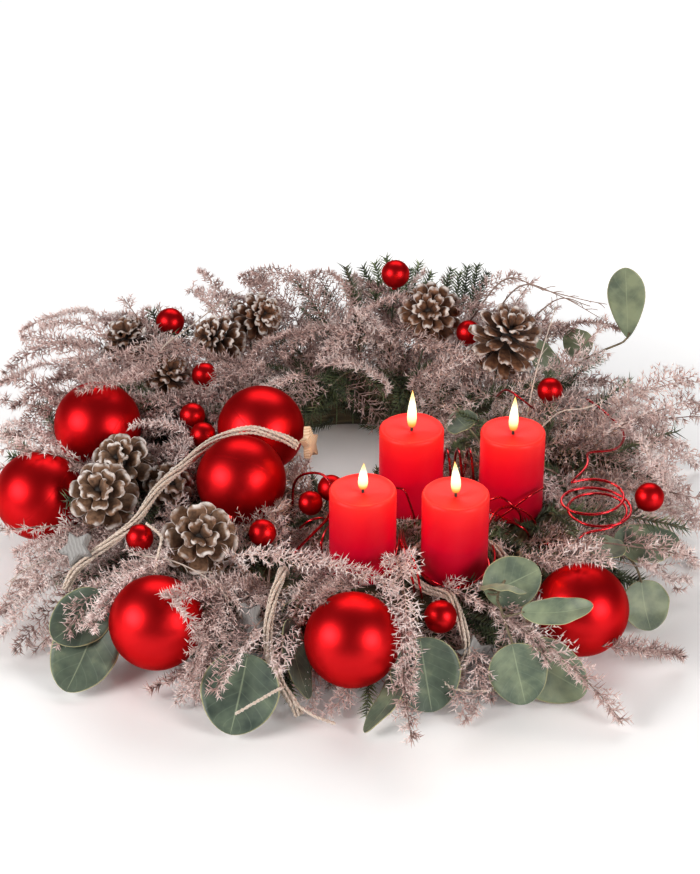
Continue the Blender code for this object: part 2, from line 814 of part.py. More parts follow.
def main():
    clear_scene()
    wreath = new_collection("bauble_wreath")
    glass = new_material("red_glass", RED_GLASS, 0.28, 0.7)
    wax = new_material("red_wax", RED_WAX, 0.45)
    enamel = new_material("red_enamel", RED_ENAMEL, 0.25, 0.8)
    steel = new_material("steel", STEEL, 0.35, 1.0)
    straw = new_material("straw", STRAW, 0.9)
    cone_brown = new_material("cone_scales", CONE_BROWN, 0.8)
    leaf_green = new_material("eucalyptus_leaf", LEAF_GREEN, 0.6)
    fir_green = new_material("fir_needles", FIR_GREEN, 0.6)
    fern_pink = new_material("fern_pink", FERN_PINK, 0.85)
    jute = new_material("jute", JUTE, 0.95)
    light_wood = new_material("light_wood", LIGHT_WOOD, 0.8)
    grey_wood = new_material("grey_wood", GREY_WOOD, 0.85)

    places = {
        "back_left": v(55, -6, 0),
        "back_right": v(145, -12, 0),
        "front_left": v(11, -112, 0),
        "front_right": v(90, -118, 0),
    }
    straw_ring(straw, wreath, places.values())
    for side, place in places.items():
        candle_holder(f"candle_holder_{side}", place, steel, wreath)
    for side, place in places.items():
        candle(f"candle_{side}", place, wax, wreath)

    baubles = {
        "left_edge": (v(-278, -28, 80), beside_ring(200, 26)),
        "upper_left": (v(-232, 55, 105), on_ring(-190, 62)),
        "by_hole_back": (v(-82, 53, 102), on_ring(-122, 40)),
        "by_hole_front": (v(-97, -28, 96), on_ring(-116, -80)),
        "front_left": (v(-162, -200, 60), beside_ring(236, 30)),
        "front_middle": (v(2, -228, 62), beside_ring(263, 22)),
        "front_right": (v(197, -170, 53), beside_ring(312, 28)),
    }
    for place, (centre, seat) in baubles.items():
        bauble(f"bauble_{place}", centre, seat, glass, wreath)

    small = {
        "back_left": ([(v(-178, 252, 110), 14)], on_ring(-132, 184)),
        "left_middle": ([(v(-139, 151, 105), 12)], on_ring(-140, 142)),
        "left_pair": ([(v(-146, 74, 104), 12), (v(-135, 45, 100), 12)], on_ring(-150, 56)),
        "left_front": ([(v(-182, -107, 85), 12)], on_ring(-166, -84)),
        "inner_left": ([(v(-76, -99, 85), 12)], on_ring(-72, -94)),
        "back": ([(v(45, 278, 150), 14)], on_ring(38, 250)),
        "back_right": ([(v(116, 224, 113), 12)], on_ring(108, 206)),
        "right_back": ([(v(187, 103, 115), 12)], on_ring(170, 96)),
        "right": ([(v(264, -56, 95), 13)], beside_ring(338, 32)),
        "front": ([(v(76, -194, 62), 14)], beside_ring(289, 32)),
        "by_candle": ([(v(-17, -32, 90), 12), (v(-35, -48, 84), 11)], on_ring(-24, -28)),
    }
    for place, (balls, seat) in small.items():
        small_baubles(f"small_bauble_{place}", balls, seat, glass, wreath)

    cone_heads = {
        "back_left": (
            [(v(-218, 228, 100), v(-0.2, -0.3, 1), 34, 46), (v(-176, 168, 92), v(0.3, -0.4, 1), 30, 44)],
            on_ring(-152, 164),
        ),
        "back_pair": (
            [(v(-130, 226, 104), v(-0.6, -0.6, 0.5), 40, 42), (v(-92, 262, 111), v(0.5, -0.7, 0.6), 42, 42)],
            on_ring(-96, 208),
        ),
        "left_pair": (
            [(v(-204, -2, 97), v(-0.2, -0.6, 0.7), 50, 50), (v(-163, -12, 80), v(0.3, -0.7, 0.6), 36, 38)],
            on_ring(-176, 14),
        ),
        "left": ([(v(-217, -61, 100), v(-0.1, -0.7, 0.75), 46, 54)], on_ring(-182, -42)),
        "front_left": ([(v(-130, -112, 86), v(0.1, -0.75, 0.7), 50, 60)], on_ring(-122, -86)),
        "back": ([(v(79, 246, 122), v(-0.1, -0.75, 0.6), 48, 56)], on_ring(66, 232)),
        "back_right": ([(v(150, 190, 122), v(0.9, -0.35, 0.25), 64, 42)], on_ring(136, 172)),
    }
    for place, (heads, seat) in cone_heads.items():
        cones(f"cone_{place}", heads, seat, cone_brown, wreath)

    eucalyptus(
        "eucalyptus_back_right",
        on_ring(166, 144),
        [v(190, 176, 78), v(232, 200, 98), v(266, 206, 112), v(271, 206, 122)],
        [
            (v(272, 206, 118), v(268, 212, 189), v(-0.15, -1, 0.2), 38, 0.05, 0.1),
            (v(232, 200, 102), v(212, 226, 112), v(-0.2, -0.8, 0.6), 30, 0.1, 0.15),
            (v(200, 182, 86), v(182, 230, 102), v(0.2, -0.7, 0.7), 28, 0.1, 0.2),
        ],
        leaf_green,
        wreath,
    )
    eucalyptus(
        "eucalyptus_behind_candles",
        on_ring(128, 70),
        [v(120, 82, 74), v(112, 92, 80)],
        [(v(112, 92, 80), v(98, 128, 76), v(-0.2, -0.5, 0.8), 32, 0.1, 0.15)],
        leaf_green,
        wreath,
    )
    eucalyptus(
        "eucalyptus_right",
        on_ring(182, -66),
        [v(204, -76, 68), v(228, -84, 66), v(248, -100, 54), v(254, -114, 44)],
        [
            (v(232, -84, 67), v(290, -80, 64), v(0, -0.4, 0.9), 42, 0.1, 0.1),
            (v(214, -80, 67), v(236, -112, 70), v(0.2, -0.5, 0.85), 30, 0.1, 0.15),
            (v(254, -112, 44), v(262, -136, 8), v(0.3, -0.9, 0.3), 46, 0.08, 0.1),
        ],
        leaf_green,
        wreath,
    )
    eucalyptus(
        "eucalyptus_front_right",
        on_ring(146, -98),
        [v(147, -126, 80), v(138, -154, 84), v(124, -184, 78), v(126, -206, 76), v(132, -220, 62), v(136, -227, 54)],
        [
            (v(116, -184, 74), v(148, -160, 92), v(-0.1, -0.75, 0.65), 44, 0.06, 0.1),
            (v(110, -176, 80), v(146, -206, 94), v(0.2, -0.5, -0.85), 16, 0.1, 0.45),
            (v(128, -212, 78), v(190, -224, 92), v(0, -0.55, 0.85), 26, 0.12, 0.2),
            (v(134, -228, 58), v(146, -244, 8), v(0.05, -0.93, 0.35), 50, 0.07, 0.1),
            (v(138, -218, 42), v(188, -222, 7), v(0.2, -0.85, 0.5), 44, 0.08, 0.12),
        ],
        leaf_green,
        wreath,
    )
    eucalyptus(
        "eucalyptus_front_middle",
        on_ring(40, -148),
        [v(48, -178, 70), v(56, -206, 66), v(58, -220, 58)],
        [
            (v(58, -222, 58), v(68, -252, 6), v(0.1, -0.9, 0.4), 50, 0.07, 0.12),
            (v(54, -224, 52), v(12, -280, 6), v(-0.6, -0.6, 0.5), 24, 0.1, 0.35),
        ],
        leaf_green,
        wreath,
    )
    eucalyptus(
        "eucalyptus_front_left",
        on_ring(-36, -142),
        [v(-40, -166, 72), v(-44, -194, 74), v(-44, -210, 68)],
        [
            (v(-51, -212, 68), v(-32, -252, 16), v(0.75, -0.55, 0.3), 20, 0.1, 0.35),
            (v(-84, -242, 56), v(-98, -284, 7), v(-0.1, -0.85, 0.5), 58, 0.07, 0.1),
            (v(-44, -188, 75), v(-50, -194, 46), v(0.1, -0.95, 0.3), 22, 0.1, 0.2),
        ],
        leaf_green,
        wreath,
        side_stem=[v(-43.5, -194, 73), v(-48, -202, 52), v(-66, -222, 40), v(-78, -236, 48), v(-83, -243, 55)],
    )
    eucalyptus(
        "eucalyptus_left",
        on_ring(-156, -96),
        [v(-174, -130, 74), v(-196, -156, 72), v(-208, -168, 60)],
        [
            (v(-206, -166, 64), v(-250, -196, 40), v(-0.1, -0.8, 0.6), 48, 0.1, 0.12),
            (v(-212, -174, 52), v(-238, -226, 8), v(-0.1, -0.75, 0.65), 58, 0.08, 0.1),
        ],
        leaf_green,
        wreath,
    )

    twine(
        "twine_left",
        [
            v(-47, 5, 112), v(-62, 6, 120), v(-89, 11, 125), v(-116, 2, 122), v(-136, -14, 116),
            v(-152, -34, 110), v(-168, -62, 108), v(-186, -98, 96), v(-206, -114, 86), v(-222, -124, 78),
            v(-236, -136, 70), v(-243, -148, 58),
        ],
        jute,
        wreath,
    )
    twine(
        "twine_front_left",
        [
            on_ring(-56, -124) + v(0, 0, 3.2), v(-57, -148, 78), v(-60, -172, 82), v(-64, -194, 80),
            v(-68, -214, 66), v(-66, -232, 46), v(-58, -246, 32), v(-48, -256, 20), v(-42, -262, 10),
        ],
        jute,
        wreath,
        extra=(
            [v(-55, -249, 29), v(-62, -276, 44), v(-92, -303, 42)],
            [v(-48, -256, 20), v(-30, -270, 16), v(-12, -276, 12)],
        ),
    )
    twine(
        "twine_front_right",
        [
            v(92, -222, 26), v(98, -212, 42), v(92, -196, 62), v(84, -172, 68), v(66, -156, 64),
            v(52, -134, 63), v(52, -106, 63), v(66, -83, 63), v(92, -75, 63), v(118, -83, 65),
            v(133, -106, 66), v(138, -130, 66), v(144, -150, 62), v(150, -184, 50), v(152, -194, 42),
        ],
        jute,
        wreath,
    )
    star("star_by_hole", v(-34, 14, 110), v(0.9, -0.3, 0.25), v(-1, -0.2, 0), 32, 7, light_wood, wreath)
    star("star_left", v(-238, -122, 92), v(-0.4, -0.5, 0.75), v(0.3, 0.1, -1), 34, 8, grey_wood, wreath)
    star("star_front_left", v(-92, -200, 60), v(-0.7, -0.7, 0.2), v(1, 0, 0.3), 34, 7, grey_wood, wreath)

    tangle = []
    for i in range(28):
        angle = 2 * math.pi * i / 10 - 1.9
        spot = v(30 * math.cos(angle), 25 * math.sin(angle), 3 * math.sin(angle) + 8 * i / 10)
        tangle.append(v(216, -66, 82) + spot + v(4 * math.sin(angle * 0.4), 4 * math.cos(angle * 0.55), 0))
    wire(
        "wire_right",
        [
            v(222, 122, 96), v(231, 106, 98), v(242, 83, 98), v(255, 54, 98), v(247, 25, 99),
            v(233, 4, 106), v(208, -4, 112), v(216, -26, 112), *tangle[::-1],
            v(196, -98, 72), v(180, -90, 66), on_ring(167, -80) + v(0, 0, 9), on_ring(167, -80),
        ],
        28,
        enamel,
        wreath,
        held_start=0,
        held_end=2,
    )
    coil = []
    for i in range(3 * 10 + 1):
        angle = 2 * math.pi * i / 10 - math.pi / 2
        coil.append(v(84 + 31 * i / 30, 31 + 17 * math.cos(angle), 74.3 + 19 * math.sin(angle)))
    wire("wire_coil", coil, 40, enamel, wreath, held_start=0, held_end=0)
    around_candle = []
    for i in range(8):
        angle = math.radians(-100 + 20 * i)
        reach = CANDLE_RADIUS + WIRE_RADIUS + 0.9
        around_candle.append(places["front_right"] + v(reach * math.cos(angle), reach * math.sin(angle), 60 + i))
    wire(
        "wire_front",
        [
            v(43, -112, 88), v(46, -128, 80), v(56, -146, 77), v(72, -152, 68), *around_candle, v(122, -74, 80),
            v(130, -56, 84), v(144, -48, 82), v(157, -46, 74), on_ring(166, -46) + v(0, 0, 9), on_ring(166, -46),
        ],
        14,
        enamel,
        wreath,
        held_start=0,
        held_end=2,
    )
    wire(
        "wire_left",
        [
            on_ring(-52, -8), on_ring(-52, -8) + v(0, 0, 12), v(-50, -13, 84), v(-43, -22, 98), v(-34, -30, 105),
            v(-24, -37, 108), v(-15, -52, 100), v(-18, -72, 84), v(-28, -84, 80), v(-42, -96, 71),
            on_ring(-50, -100) + v(0, 0, 9), on_ring(-50, -100),
        ],
        12,
        enamel,
        wreath,
        held_start=2,
        held_end=2,
    )

    way_through = cylinder(OPEN_SIDE / math.sqrt(2), -50, 400, 4, v(0, 0, 0))
    way_through.transform(Matrix.Translation(OPEN_CENTRE) @ Matrix.Rotation(math.pi / 4, 4, "Z"))
    take_room(way_through, TAKEN)
    fir = (4, 15, fir_reach, math.radians(38), 1.5)
    fern = (3, 25, fern_reach, math.radians(36), 1.6)
    seat = RING_HEIGHT + GAP + 2.7
    outer = 206
    around_front_candle = [
        *ring_arc(283, 289, outer, seat), *ring_arc(293, 307, 222, seat)
    ]
    high = [(0, 30, 26, 155), (180, 32, 92, 95), (0, 56, 36, 130), (15, 8, 50, 130), (180, 58, 90, 110)]
    wide = [(0, 24, 26, 150), (180, 46, 56, 110), (0, 50, 40, 135), (-15, 6, 50, 125)]
    low = [(0, 10, 44, 175), (180, 40, 50, 110), (12, 34, 66, 140)]
    bunches = {
        "fir_back": (
            ring_arc(83, 99, outer, seat, 8),
            [
                (0.0, 60, 52, 110, 30, -20), (0.2, 92, 66, 105, 20, 20), (0.5, 120, 52, 110, 30, 10),
                (0.8, 100, 22, 120, 30, 10), (1.0, 150, 40, 105, 25, 15), (0.1, 285, 30, 90, 95, 10),
                (0.35, 262, 34, 95, 95, -10), (0.6, 280, 30, 95, 95, 10), (0.9, 250, 34, 90, 95, 10),
            ],
        ),
        "fir_left": (
            ring_arc(163, 192, 168, seat),
            [
                (0.0, 120, 40, 90, 30, 10), (0.4, 180, 44, 96, 40, -8), (0.6, 200, 24, 130, 20, 5),
                (1.0, 215, 30, 120, 20, 10), (1.0, 250, 40, 80, 30, 10), (0.3, 20, 55, 60, 20, 10),
            ],
        ),
        "fir_right": (
            ring_arc(-21, 14, 191, seat),
            [
                (0.0, -70, 35, 80, 30, -10), (0.0, -30, 22, 130, 25, 10), (0.5, 10, 30, 120, 20, 5),
                (0.7, 150, 50, 70, 35, 10), (1.0, 30, 34, 110, 20, 10), (1.0, 80, 50, 85, 30, 10),
            ],
        ),
        "fern_back_left": (ring_arc(104, 158, outer, seat), leafy_arc(104, 158, 11, high, 10)),
        "fern_left": (ring_arc(164, 208, outer, seat), leafy_arc(164, 208, 9, wide, 11)),
        "fern_front_left": (ring_arc(214, 262, outer, seat), leafy_arc(214, 262, 10, low, 12)),
        "fern_front_right": (around_front_candle, leafy_arc(283, 307, 7, low, 13)),
        "fern_right": (ring_arc(328, 372, outer, seat), leafy_arc(328, 372, 9, wide, 14)),
        "fern_back_right": (ring_arc(18, 76, outer, seat), leafy_arc(18, 76, 12, high, 15)),
    }
    bound = {}
    stems = {}
    for name, (spine, _) in bunches.items():
        bound[name] = bound_stem(spine, 2.4)
        stems[name] = []
        take_room(bound[name][1], stems[name])
    for seed, (name, (_, shoots)) in enumerate(bunches.items()):
        others = [shape for other, shapes in stems.items() if other != name for shape in shapes]
        is_fir = name.startswith("fir")
        spray(
            name, bound[name], shoots, fir if is_fir else fern, seed, others, fir_green if is_fir else fern_pink, wreath
        )


main()
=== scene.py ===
import math
import random

import bmesh
import bpy
import numpy as np
from mathutils import Matrix, Vector


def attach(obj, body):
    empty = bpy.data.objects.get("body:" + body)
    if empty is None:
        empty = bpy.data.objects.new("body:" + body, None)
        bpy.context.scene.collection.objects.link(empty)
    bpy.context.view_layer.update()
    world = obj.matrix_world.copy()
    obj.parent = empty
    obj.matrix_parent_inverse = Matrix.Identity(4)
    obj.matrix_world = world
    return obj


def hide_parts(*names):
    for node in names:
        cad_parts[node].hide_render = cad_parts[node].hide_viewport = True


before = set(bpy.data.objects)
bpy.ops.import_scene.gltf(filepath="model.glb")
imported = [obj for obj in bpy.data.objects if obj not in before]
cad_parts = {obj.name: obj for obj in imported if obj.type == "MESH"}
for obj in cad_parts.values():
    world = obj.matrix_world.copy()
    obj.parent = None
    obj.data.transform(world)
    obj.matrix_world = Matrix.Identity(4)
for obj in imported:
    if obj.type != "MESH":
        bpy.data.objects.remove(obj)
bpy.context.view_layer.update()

# The wreath lies on a white table and is seen from the front, about a third of the way up, with a long lens.
# Two soft boxes in front, a large one behind and a bright white room light it, and so do its four flames.
MM = 0.001
SENSOR_WIDTH = 36
FOCAL_PIXELS = 2400
PICTURE_HEIGHT = 874
WARM_WHITE = (1, 0.97, 0.945)


def v(x, y, z):
    """A place or a way, mostly in millimetres: x to the right, y to the back, z up."""
    return Vector((x, y, z))


def new_object(name, data):
    """An object in the scene."""
    made = bpy.data.objects.new(name, data)
    bpy.context.scene.collection.objects.link(made)
    return made


def facing(place, target):
    """How a camera or a lamp turns at its place to face a target."""
    return (target - place).to_track_quat("-Z", "Y").to_euler()


camera = new_object("camera", bpy.data.cameras.new("camera"))
camera.data.sensor_width = SENSOR_WIDTH
camera.data.lens = FOCAL_PIXELS * SENSOR_WIDTH / PICTURE_HEIGHT
camera.location = v(0, -1862, 1199) * MM
camera.rotation_euler = facing(camera.location, v(0, 0, 124) * MM)
bpy.context.scene.camera = camera


def soft_box(name, place, sides, power, colour=(1, 1, 1)):
    """A wide rectangular lamp that faces the wreath."""
    lamp = bpy.data.lights.new(name, "AREA")
    lamp.shape = "RECTANGLE"
    lamp.size, lamp.size_y = sides
    lamp.energy = power
    lamp.color = colour
    box = new_object(name, lamp)
    box.location = place
    box.rotation_euler = facing(Vector(place), v(0, 0, 0.05))


soft_box("left_soft_box", (-1.6, -0.9, 0.95), (1.1, 0.85), 36, WARM_WHITE)
soft_box("right_soft_box", (1.35, -1.3, 0.85), (0.8, 0.75), 26, WARM_WHITE)
soft_box("back_soft_box", (0.2, 1.9, 2.2), (2.6, 1.4), 40)
bpy.context.scene.view_settings.view_transform = "Standard"


def new_material(name, values=()):
    """A material with its node tree and its main shader, on which plain values are set."""
    material = bpy.data.materials.new(name)
    material.use_nodes = True
    shader = material.node_tree.nodes["Principled BSDF"]
    for socket, value in dict(values).items():
        shader.inputs[socket].default_value = value
    return material, material.node_tree, shader


def step(tree, kind, inputs=(), **settings):
    """Adds one node, with its settings and its inputs: each a value, or the output of another node."""
    made = tree.nodes.new("ShaderNode" + kind)
    for key, value in settings.items():
        setattr(made, key, value)
    for key, value in dict(inputs).items():
        socket = made.inputs[key]
        if isinstance(value, bpy.types.NodeSocket):
            tree.links.new(value, socket)
        else:
            socket.default_value = value
    return made


def place_on(tree, kind="Object"):
    """Where a point lies on its piece."""
    return step(tree, "TexCoord").outputs[kind]


def maths(tree, operation, *values):
    """The result of one operation on numbers."""
    return step(tree, "Math", dict(enumerate(values)), operation=operation).outputs[0]


def mapped(tree, value, start, end, low=0, high=1):
    """A value's run from start to end, stretched to run from low to high."""
    return step(tree, "MapRange", {"Value": value, "From Min": start, "From Max": end,
                                   "To Min": low, "To Max": high}).outputs[0]


def noise(tree, place=None, **inputs):
    """A cloudy 0 to 1 factor over a piece."""
    if place is not None:
        inputs["Vector"] = place
    return step(tree, "TexNoise", inputs).outputs["Fac"]


def blended(tree, share, under, over):
    """One colour over another, by a share."""
    return step(tree, "Mix", {"Factor": share, "A": under, "B": over}, data_type="RGBA").outputs["Result"]


def shades(tree, factor, stops):
    """Colours along a 0 to 1 factor."""
    ramp = step(tree, "ValToRGB", {"Fac": factor})
    ramp.color_ramp.elements.remove(ramp.color_ramp.elements[1])
    for i, (place, colour) in enumerate(stops):
        stop = ramp.color_ramp.elements[0] if i == 0 else ramp.color_ramp.elements.new(place)
        stop.position = place
        stop.color = (*colour, 1)
    return ramp.outputs["Color"]


def coloured(tree, shader, factor, stops, socket="Base Color"):
    """Gives the shader colours along a 0 to 1 factor."""
    tree.links.new(shades(tree, factor, stops), shader.inputs[socket])


def relief(tree, shader, height, depth, distance=0.001):
    """Fine relief on a surface."""
    bump = step(tree, "Bump", {"Height": height, "Strength": depth, "Distance": distance})
    tree.links.new(bump.outputs["Normal"], shader.inputs["Normal"])


def mottled(name, stops, values, on_object=False, bumps=0, **cloud):
    """A plain material. Its colour follows one noise, which can stand up as bumps too."""
    material, tree, shader = new_material(name, values)
    grain = noise(tree, place_on(tree) if on_object else None, **cloud)
    coloured(tree, shader, grain, stops)
    if bumps:
        relief(tree, shader, grain, bumps)
    return material


def finished(shape, name):
    """The mesh of a shape that was built up, which is then freed."""
    mesh = bpy.data.meshes.new(name)
    shape.to_mesh(mesh)
    shape.free()
    return mesh


# The table glows a little far from the wreath and inside its hole, so that it stays white there.
table_top, tree, shader = new_material("white_table", {
    "Roughness": 0.6, "Emission Color": (1.0, 0.99, 1.0, 1)})
coloured(tree, shader, noise(tree, Scale=60.0, Detail=3.0),
         [(0.3, (0.93, 0.93, 0.935)), (0.7, (0.96, 0.96, 0.96))])
place = place_on(tree)
away = step(tree, "VectorMath", {0: place, 1: (0, -0.1, 0)}, operation="DISTANCE").outputs["Value"]
from_hole = step(tree, "VectorMath", {0: place, 1: (0.0, 0.13, 0)}, operation="DISTANCE").outputs["Value"]
around = mapped(tree, away, 0.34, 0.66, 0.04, 0.36)
within = mapped(tree, from_hole, 0.04, 0.12, 0.25, 0.0)
tree.links.new(maths(tree, "MAXIMUM", around, within), shader.inputs["Emission Strength"])
shape = bmesh.new()
bmesh.ops.create_grid(shape, x_segments=2, y_segments=2, size=6)
floor = new_object("floor", finished(shape, "floor"))
floor.location = (0, 0, -0.0004)
floor.data.materials.append(table_top)

world = bpy.data.worlds.new("room")
bpy.context.scene.world = world
world.use_nodes = True
tree = world.node_tree
depth = step(tree, "SeparateXYZ", {"Vector": place_on(tree, "Generated")}).outputs["Y"]
tree.links.new(mapped(tree, depth, -0.5, 0.4, 0.64, 2.0), tree.nodes["Background"].inputs["Strength"])


# The ring is straw bound with thread into a round roll with an off-centre hole, rounded on every edge. It is
# hidden under the greens from above, and shows from below and here and there from the side.
RING_CENTRE = v(0, 46, 0)
RING_RADIUS = 230
RING_HEIGHT = 54
ROUNDING = 15
HOLE_CENTRE = v(3, 126, 0)
HOLE_RADIUS = 104


def placed(name, mesh, material, nodes=(), smooth=True):
    """A finished piece, from a mesh in millimetres."""
    mesh.transform(Matrix.Scale(MM, 4))
    if smooth:
        mesh.shade_smooth()
    mesh.materials.clear()
    mesh.materials.append(material)
    piece = new_object(name, mesh)
    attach(piece, "root")
    if nodes:
        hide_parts(*nodes)


def settled(obj):
    """The final mesh of a curve, or of an object with its modifiers. The object is then removed."""
    bpy.context.view_layer.update()
    mesh = bpy.data.meshes.new_from_object(obj.evaluated_get(bpy.context.evaluated_depsgraph_get()))
    bpy.data.objects.remove(obj, do_unlink=True)
    return mesh


def round_wires(routes, radii, sides=8, closed=False):
    """Round lengths along their routes, in one mesh. A radius is a number or one for each point."""
    curve = bpy.data.curves.new("lengths", "CURVE")
    curve.dimensions = "3D"
    curve.bevel_depth = 1
    curve.bevel_resolution = max(0, sides // 4 - 1)
    curve.use_fill_caps = True
    for number, route in enumerate(routes):
        spline = curve.splines.new("POLY")
        spline.points.add(len(route) - 1)
        spline.use_cyclic_u = closed
        radius = radii[number] if isinstance(radii, (list, tuple)) else radii
        for i, point in enumerate(route):
            spline.points[i].co = (*point, 1)
            spline.points[i].radius = radius[i] if isinstance(radius, (list, tuple)) else radius
    return settled(new_object("lengths", curve))


def disc_outline(curve, centre, radius, count=96):
    """A flat circle of a curve, either an outer edge or a hole in it."""
    spline = curve.splines.new("POLY")
    spline.points.add(count - 1)
    for i, point in enumerate(spline.points):
        angle = 2 * math.pi * i / count
        point.co = (centre.x + radius * math.cos(angle), centre.y + radius * math.sin(angle), 0, 1)
    spline.use_cyclic_u = True


roll = bpy.data.curves.new("roll", "CURVE")
roll.dimensions = "2D"
roll.fill_mode = "BOTH"
roll.extrude = RING_HEIGHT / 2 - ROUNDING
roll.bevel_depth = ROUNDING
roll.bevel_resolution = 3
disc_outline(roll, RING_CENTRE, RING_RADIUS - ROUNDING)
disc_outline(roll, HOLE_CENTRE, HOLE_RADIUS + ROUNDING)
ring_mesh = settled(new_object("roll", roll))
ring_mesh.transform(Matrix.Translation((0, 0, RING_HEIGHT / 2)))

# The straw is coloured a very dark brown-green all over: a painted shade for where it shows in the dark gaps
# between the greens.
straw, tree, shader = new_material("bound_straw", {"Roughness": 0.75})
place = place_on(tree)
parts = step(tree, "SeparateXYZ", {"Vector": place}).outputs
turn = maths(tree, "ARCTAN2", parts["Y"], parts["X"])
reach = step(tree, "VectorMath", {0: place}, operation="LENGTH").outputs["Value"]
along = step(tree, "CombineXYZ", {"X": turn, "Y": reach, "Z": parts["Z"]}).outputs[0]
stretched = step(tree, "VectorMath", {0: along, 1: (6, 420, 420)}, operation="MULTIPLY").outputs[0]
stalks = noise(tree, stretched, Scale=1.0, Detail=4.0)
coloured(tree, shader, stalks, [(0.3, (0.02, 0.018, 0.008)), (0.48, (0.06, 0.05, 0.022)),
                                (0.6, (0.1, 0.085, 0.04)), (0.72, (0.2, 0.17, 0.09))])
relief(tree, shader, stalks, 0.9, 0.002)
placed("bound_straw_roll", ring_mesh, straw, ["straw_ring"])


def way_to(turn, rise=0):
    """A direction, by its turn round the wreath and its rise from the table."""
    return v(math.cos(turn) * math.cos(rise), math.sin(turn) * math.cos(rise), math.sin(rise))


def ring_reach(angle):
    """How far the ring's outer wall lies from the hole's centre, in a direction."""
    way = way_to(angle)
    offset = HOLE_CENTRE - RING_CENTRE
    along_way = offset.dot(way)
    return -along_way + math.sqrt(along_way**2 - offset.length_squared + RING_RADIUS**2)


THREAD_TURNS = 40
turns = []
for i in range(THREAD_TURNS):
    angle = 2 * math.pi * i / THREAD_TURNS
    way = way_to(angle)
    inner, outer = HOLE_RADIUS, ring_reach(angle)
    loop = []
    for corner, (reach, height) in enumerate([(outer, 0), (outer, 1), (inner, 1), (inner, 0)]):
        for k in range(5):
            bend = math.pi / 2 * k / 4
            across, up = (math.cos(bend), math.sin(bend)) if corner % 2 else (math.sin(bend), math.cos(bend))
            outwards = 1 if corner < 2 else -1
            upwards = 1 if height else -1
            centre_reach = reach - outwards * ROUNDING
            centre_height = RING_HEIGHT - ROUNDING if height else ROUNDING
            proud = 0.4 if height else -0.2
            loop.append(HOLE_CENTRE + way * (centre_reach + outwards * (ROUNDING + 0.4) * across)
                        + v(0, 0, centre_height + upwards * (ROUNDING + proud) * up))
    turns.append(loop)
thread = mottled("binding_thread", [(0.3, (0.1, 0.16, 0.07)), (0.7, (0.22, 0.3, 0.14))], {"Roughness": 0.7},
                 Scale=900.0, Detail=2.0)
placed("binding_thread", round_wires(turns, 0.5, 4, closed=True), thread)


# Four pillar candles of dyed red wax. Each has a softened rim, a shallow pool round its wick and a faint line
# where it was poured in two goes. Near the top the wax has a painted glow, painted light where the flame
# shines into it, and towards the foot it is painted darker, as shade. Each is given by its spot and by how
# tall its flame is.
CANDLE_FOOT = 57
CANDLE_TOP = 137
CANDLES = {
    "back_left": (v(55, -6, 0), 38),
    "back_right": (v(145, -12, 0), 35),
    "front_left": (v(11, -112, 0), 26),
    "front_right": (v(90, -118, 0), 31),
}
CANDLE_RIM = [(29, 4), (28.9, 2), (28.3, 0.7), (27.4, 0), (26.4, 0.1), (25.4, 0.7), (22, 1.5), (15, 2.2),
              (8, 2.9), (3.4, 3.3), (1.6, 3.0), (0, 3.0)]
POUR_LINE = 36
FLAME_WIDTH = 4.3
FLAME_OUTLINE = [(0.0, 0.0), (0.01, 0.4), (0.04, 0.68), (0.13, 0.92), (0.26, 1.0), (0.42, 0.94), (0.58, 0.76),
                 (0.74, 0.5), (0.88, 0.24), (1.0, 0.0)]
SPIKED_DISH = [(0, 34.3), (1.6, 39.3), (1.6, 54.3), (23.5, 54.3), (24.8, 54.8), (25, 55.6), (24.6, 56.7),
               (23.8, 56.2), (22, 55.6), (1.6, 55.6), (1.6, 71.7), (0, 76.7)]


def turned(profile, count=64):
    """A profile of (radius, height) points, from the bottom up, turned about the upright axis."""
    points, faces = [], []
    for radius, height in profile:
        for k in range(count):
            angle = 2 * math.pi * k / count
            points.append((radius * math.cos(angle), radius * math.sin(angle), height))
    for row in range(len(profile) - 1):
        for k in range(count):
            a, b = row * count + k, row * count + (k + 1) % count
            faces.append((a, b, b + count, a + count))
    mesh = bpy.data.meshes.new("turned")
    mesh.from_pydata(points, [], faces)
    shape = bmesh.new()
    shape.from_mesh(mesh)
    bmesh.ops.remove_doubles(shape, verts=shape.verts, dist=0.001)
    bmesh.ops.recalc_face_normals(shape, faces=shape.faces)
    shape.to_mesh(mesh)
    shape.free()
    return mesh


wax, tree, shader = new_material("red_wax", {
    "Emission Strength": 0.85, "Roughness": 0.42, "Specular IOR Level": 0.2, "Subsurface Weight": 0.2,
    "Subsurface Radius": (1.0, 0.12, 0.08), "Subsurface Scale": 0.008})
place = place_on(tree)
height = step(tree, "SeparateXYZ", {"Vector": place}).outputs["Z"]
uneven = mapped(tree, noise(tree, place, Scale=45.0, Detail=4.0, Roughness=0.6), 0, 1, -0.006, 0.006)
share = mapped(tree, maths(tree, "ADD", height, uneven), CANDLE_FOOT * MM, CANDLE_TOP * MM)
# Painted light and shade: the wax is darker towards the foot, a painted shade, and brighter towards the top,
# where the flame lights it.
coloured(tree, shader, share, [
    (0.0, (0.46, 0.0, 0.016)), (0.44, (0.54, 0.0, 0.018)), (0.5, (0.62, 0.0, 0.016)),
    (0.85, (0.72, 0.005, 0.012)), (1.0, (0.72, 0.012, 0.012))])
# Painted glow: emission that grows towards the top, standing in for the flame's light shining into the wax.
coloured(tree, shader, share, [
    (0.0, (0.01, 0.0, 0.001)), (0.4, (0.04, 0.0, 0.001)), (0.72, (0.12, 0.0, 0.001)),
    (0.92, (0.24, 0.008, 0.005)), (1.0, (0.28, 0.018, 0.009))], "Emission Color")
relief(tree, shader, noise(tree, place, Scale=260.0, Detail=5.0), 0.22, 0.0008)

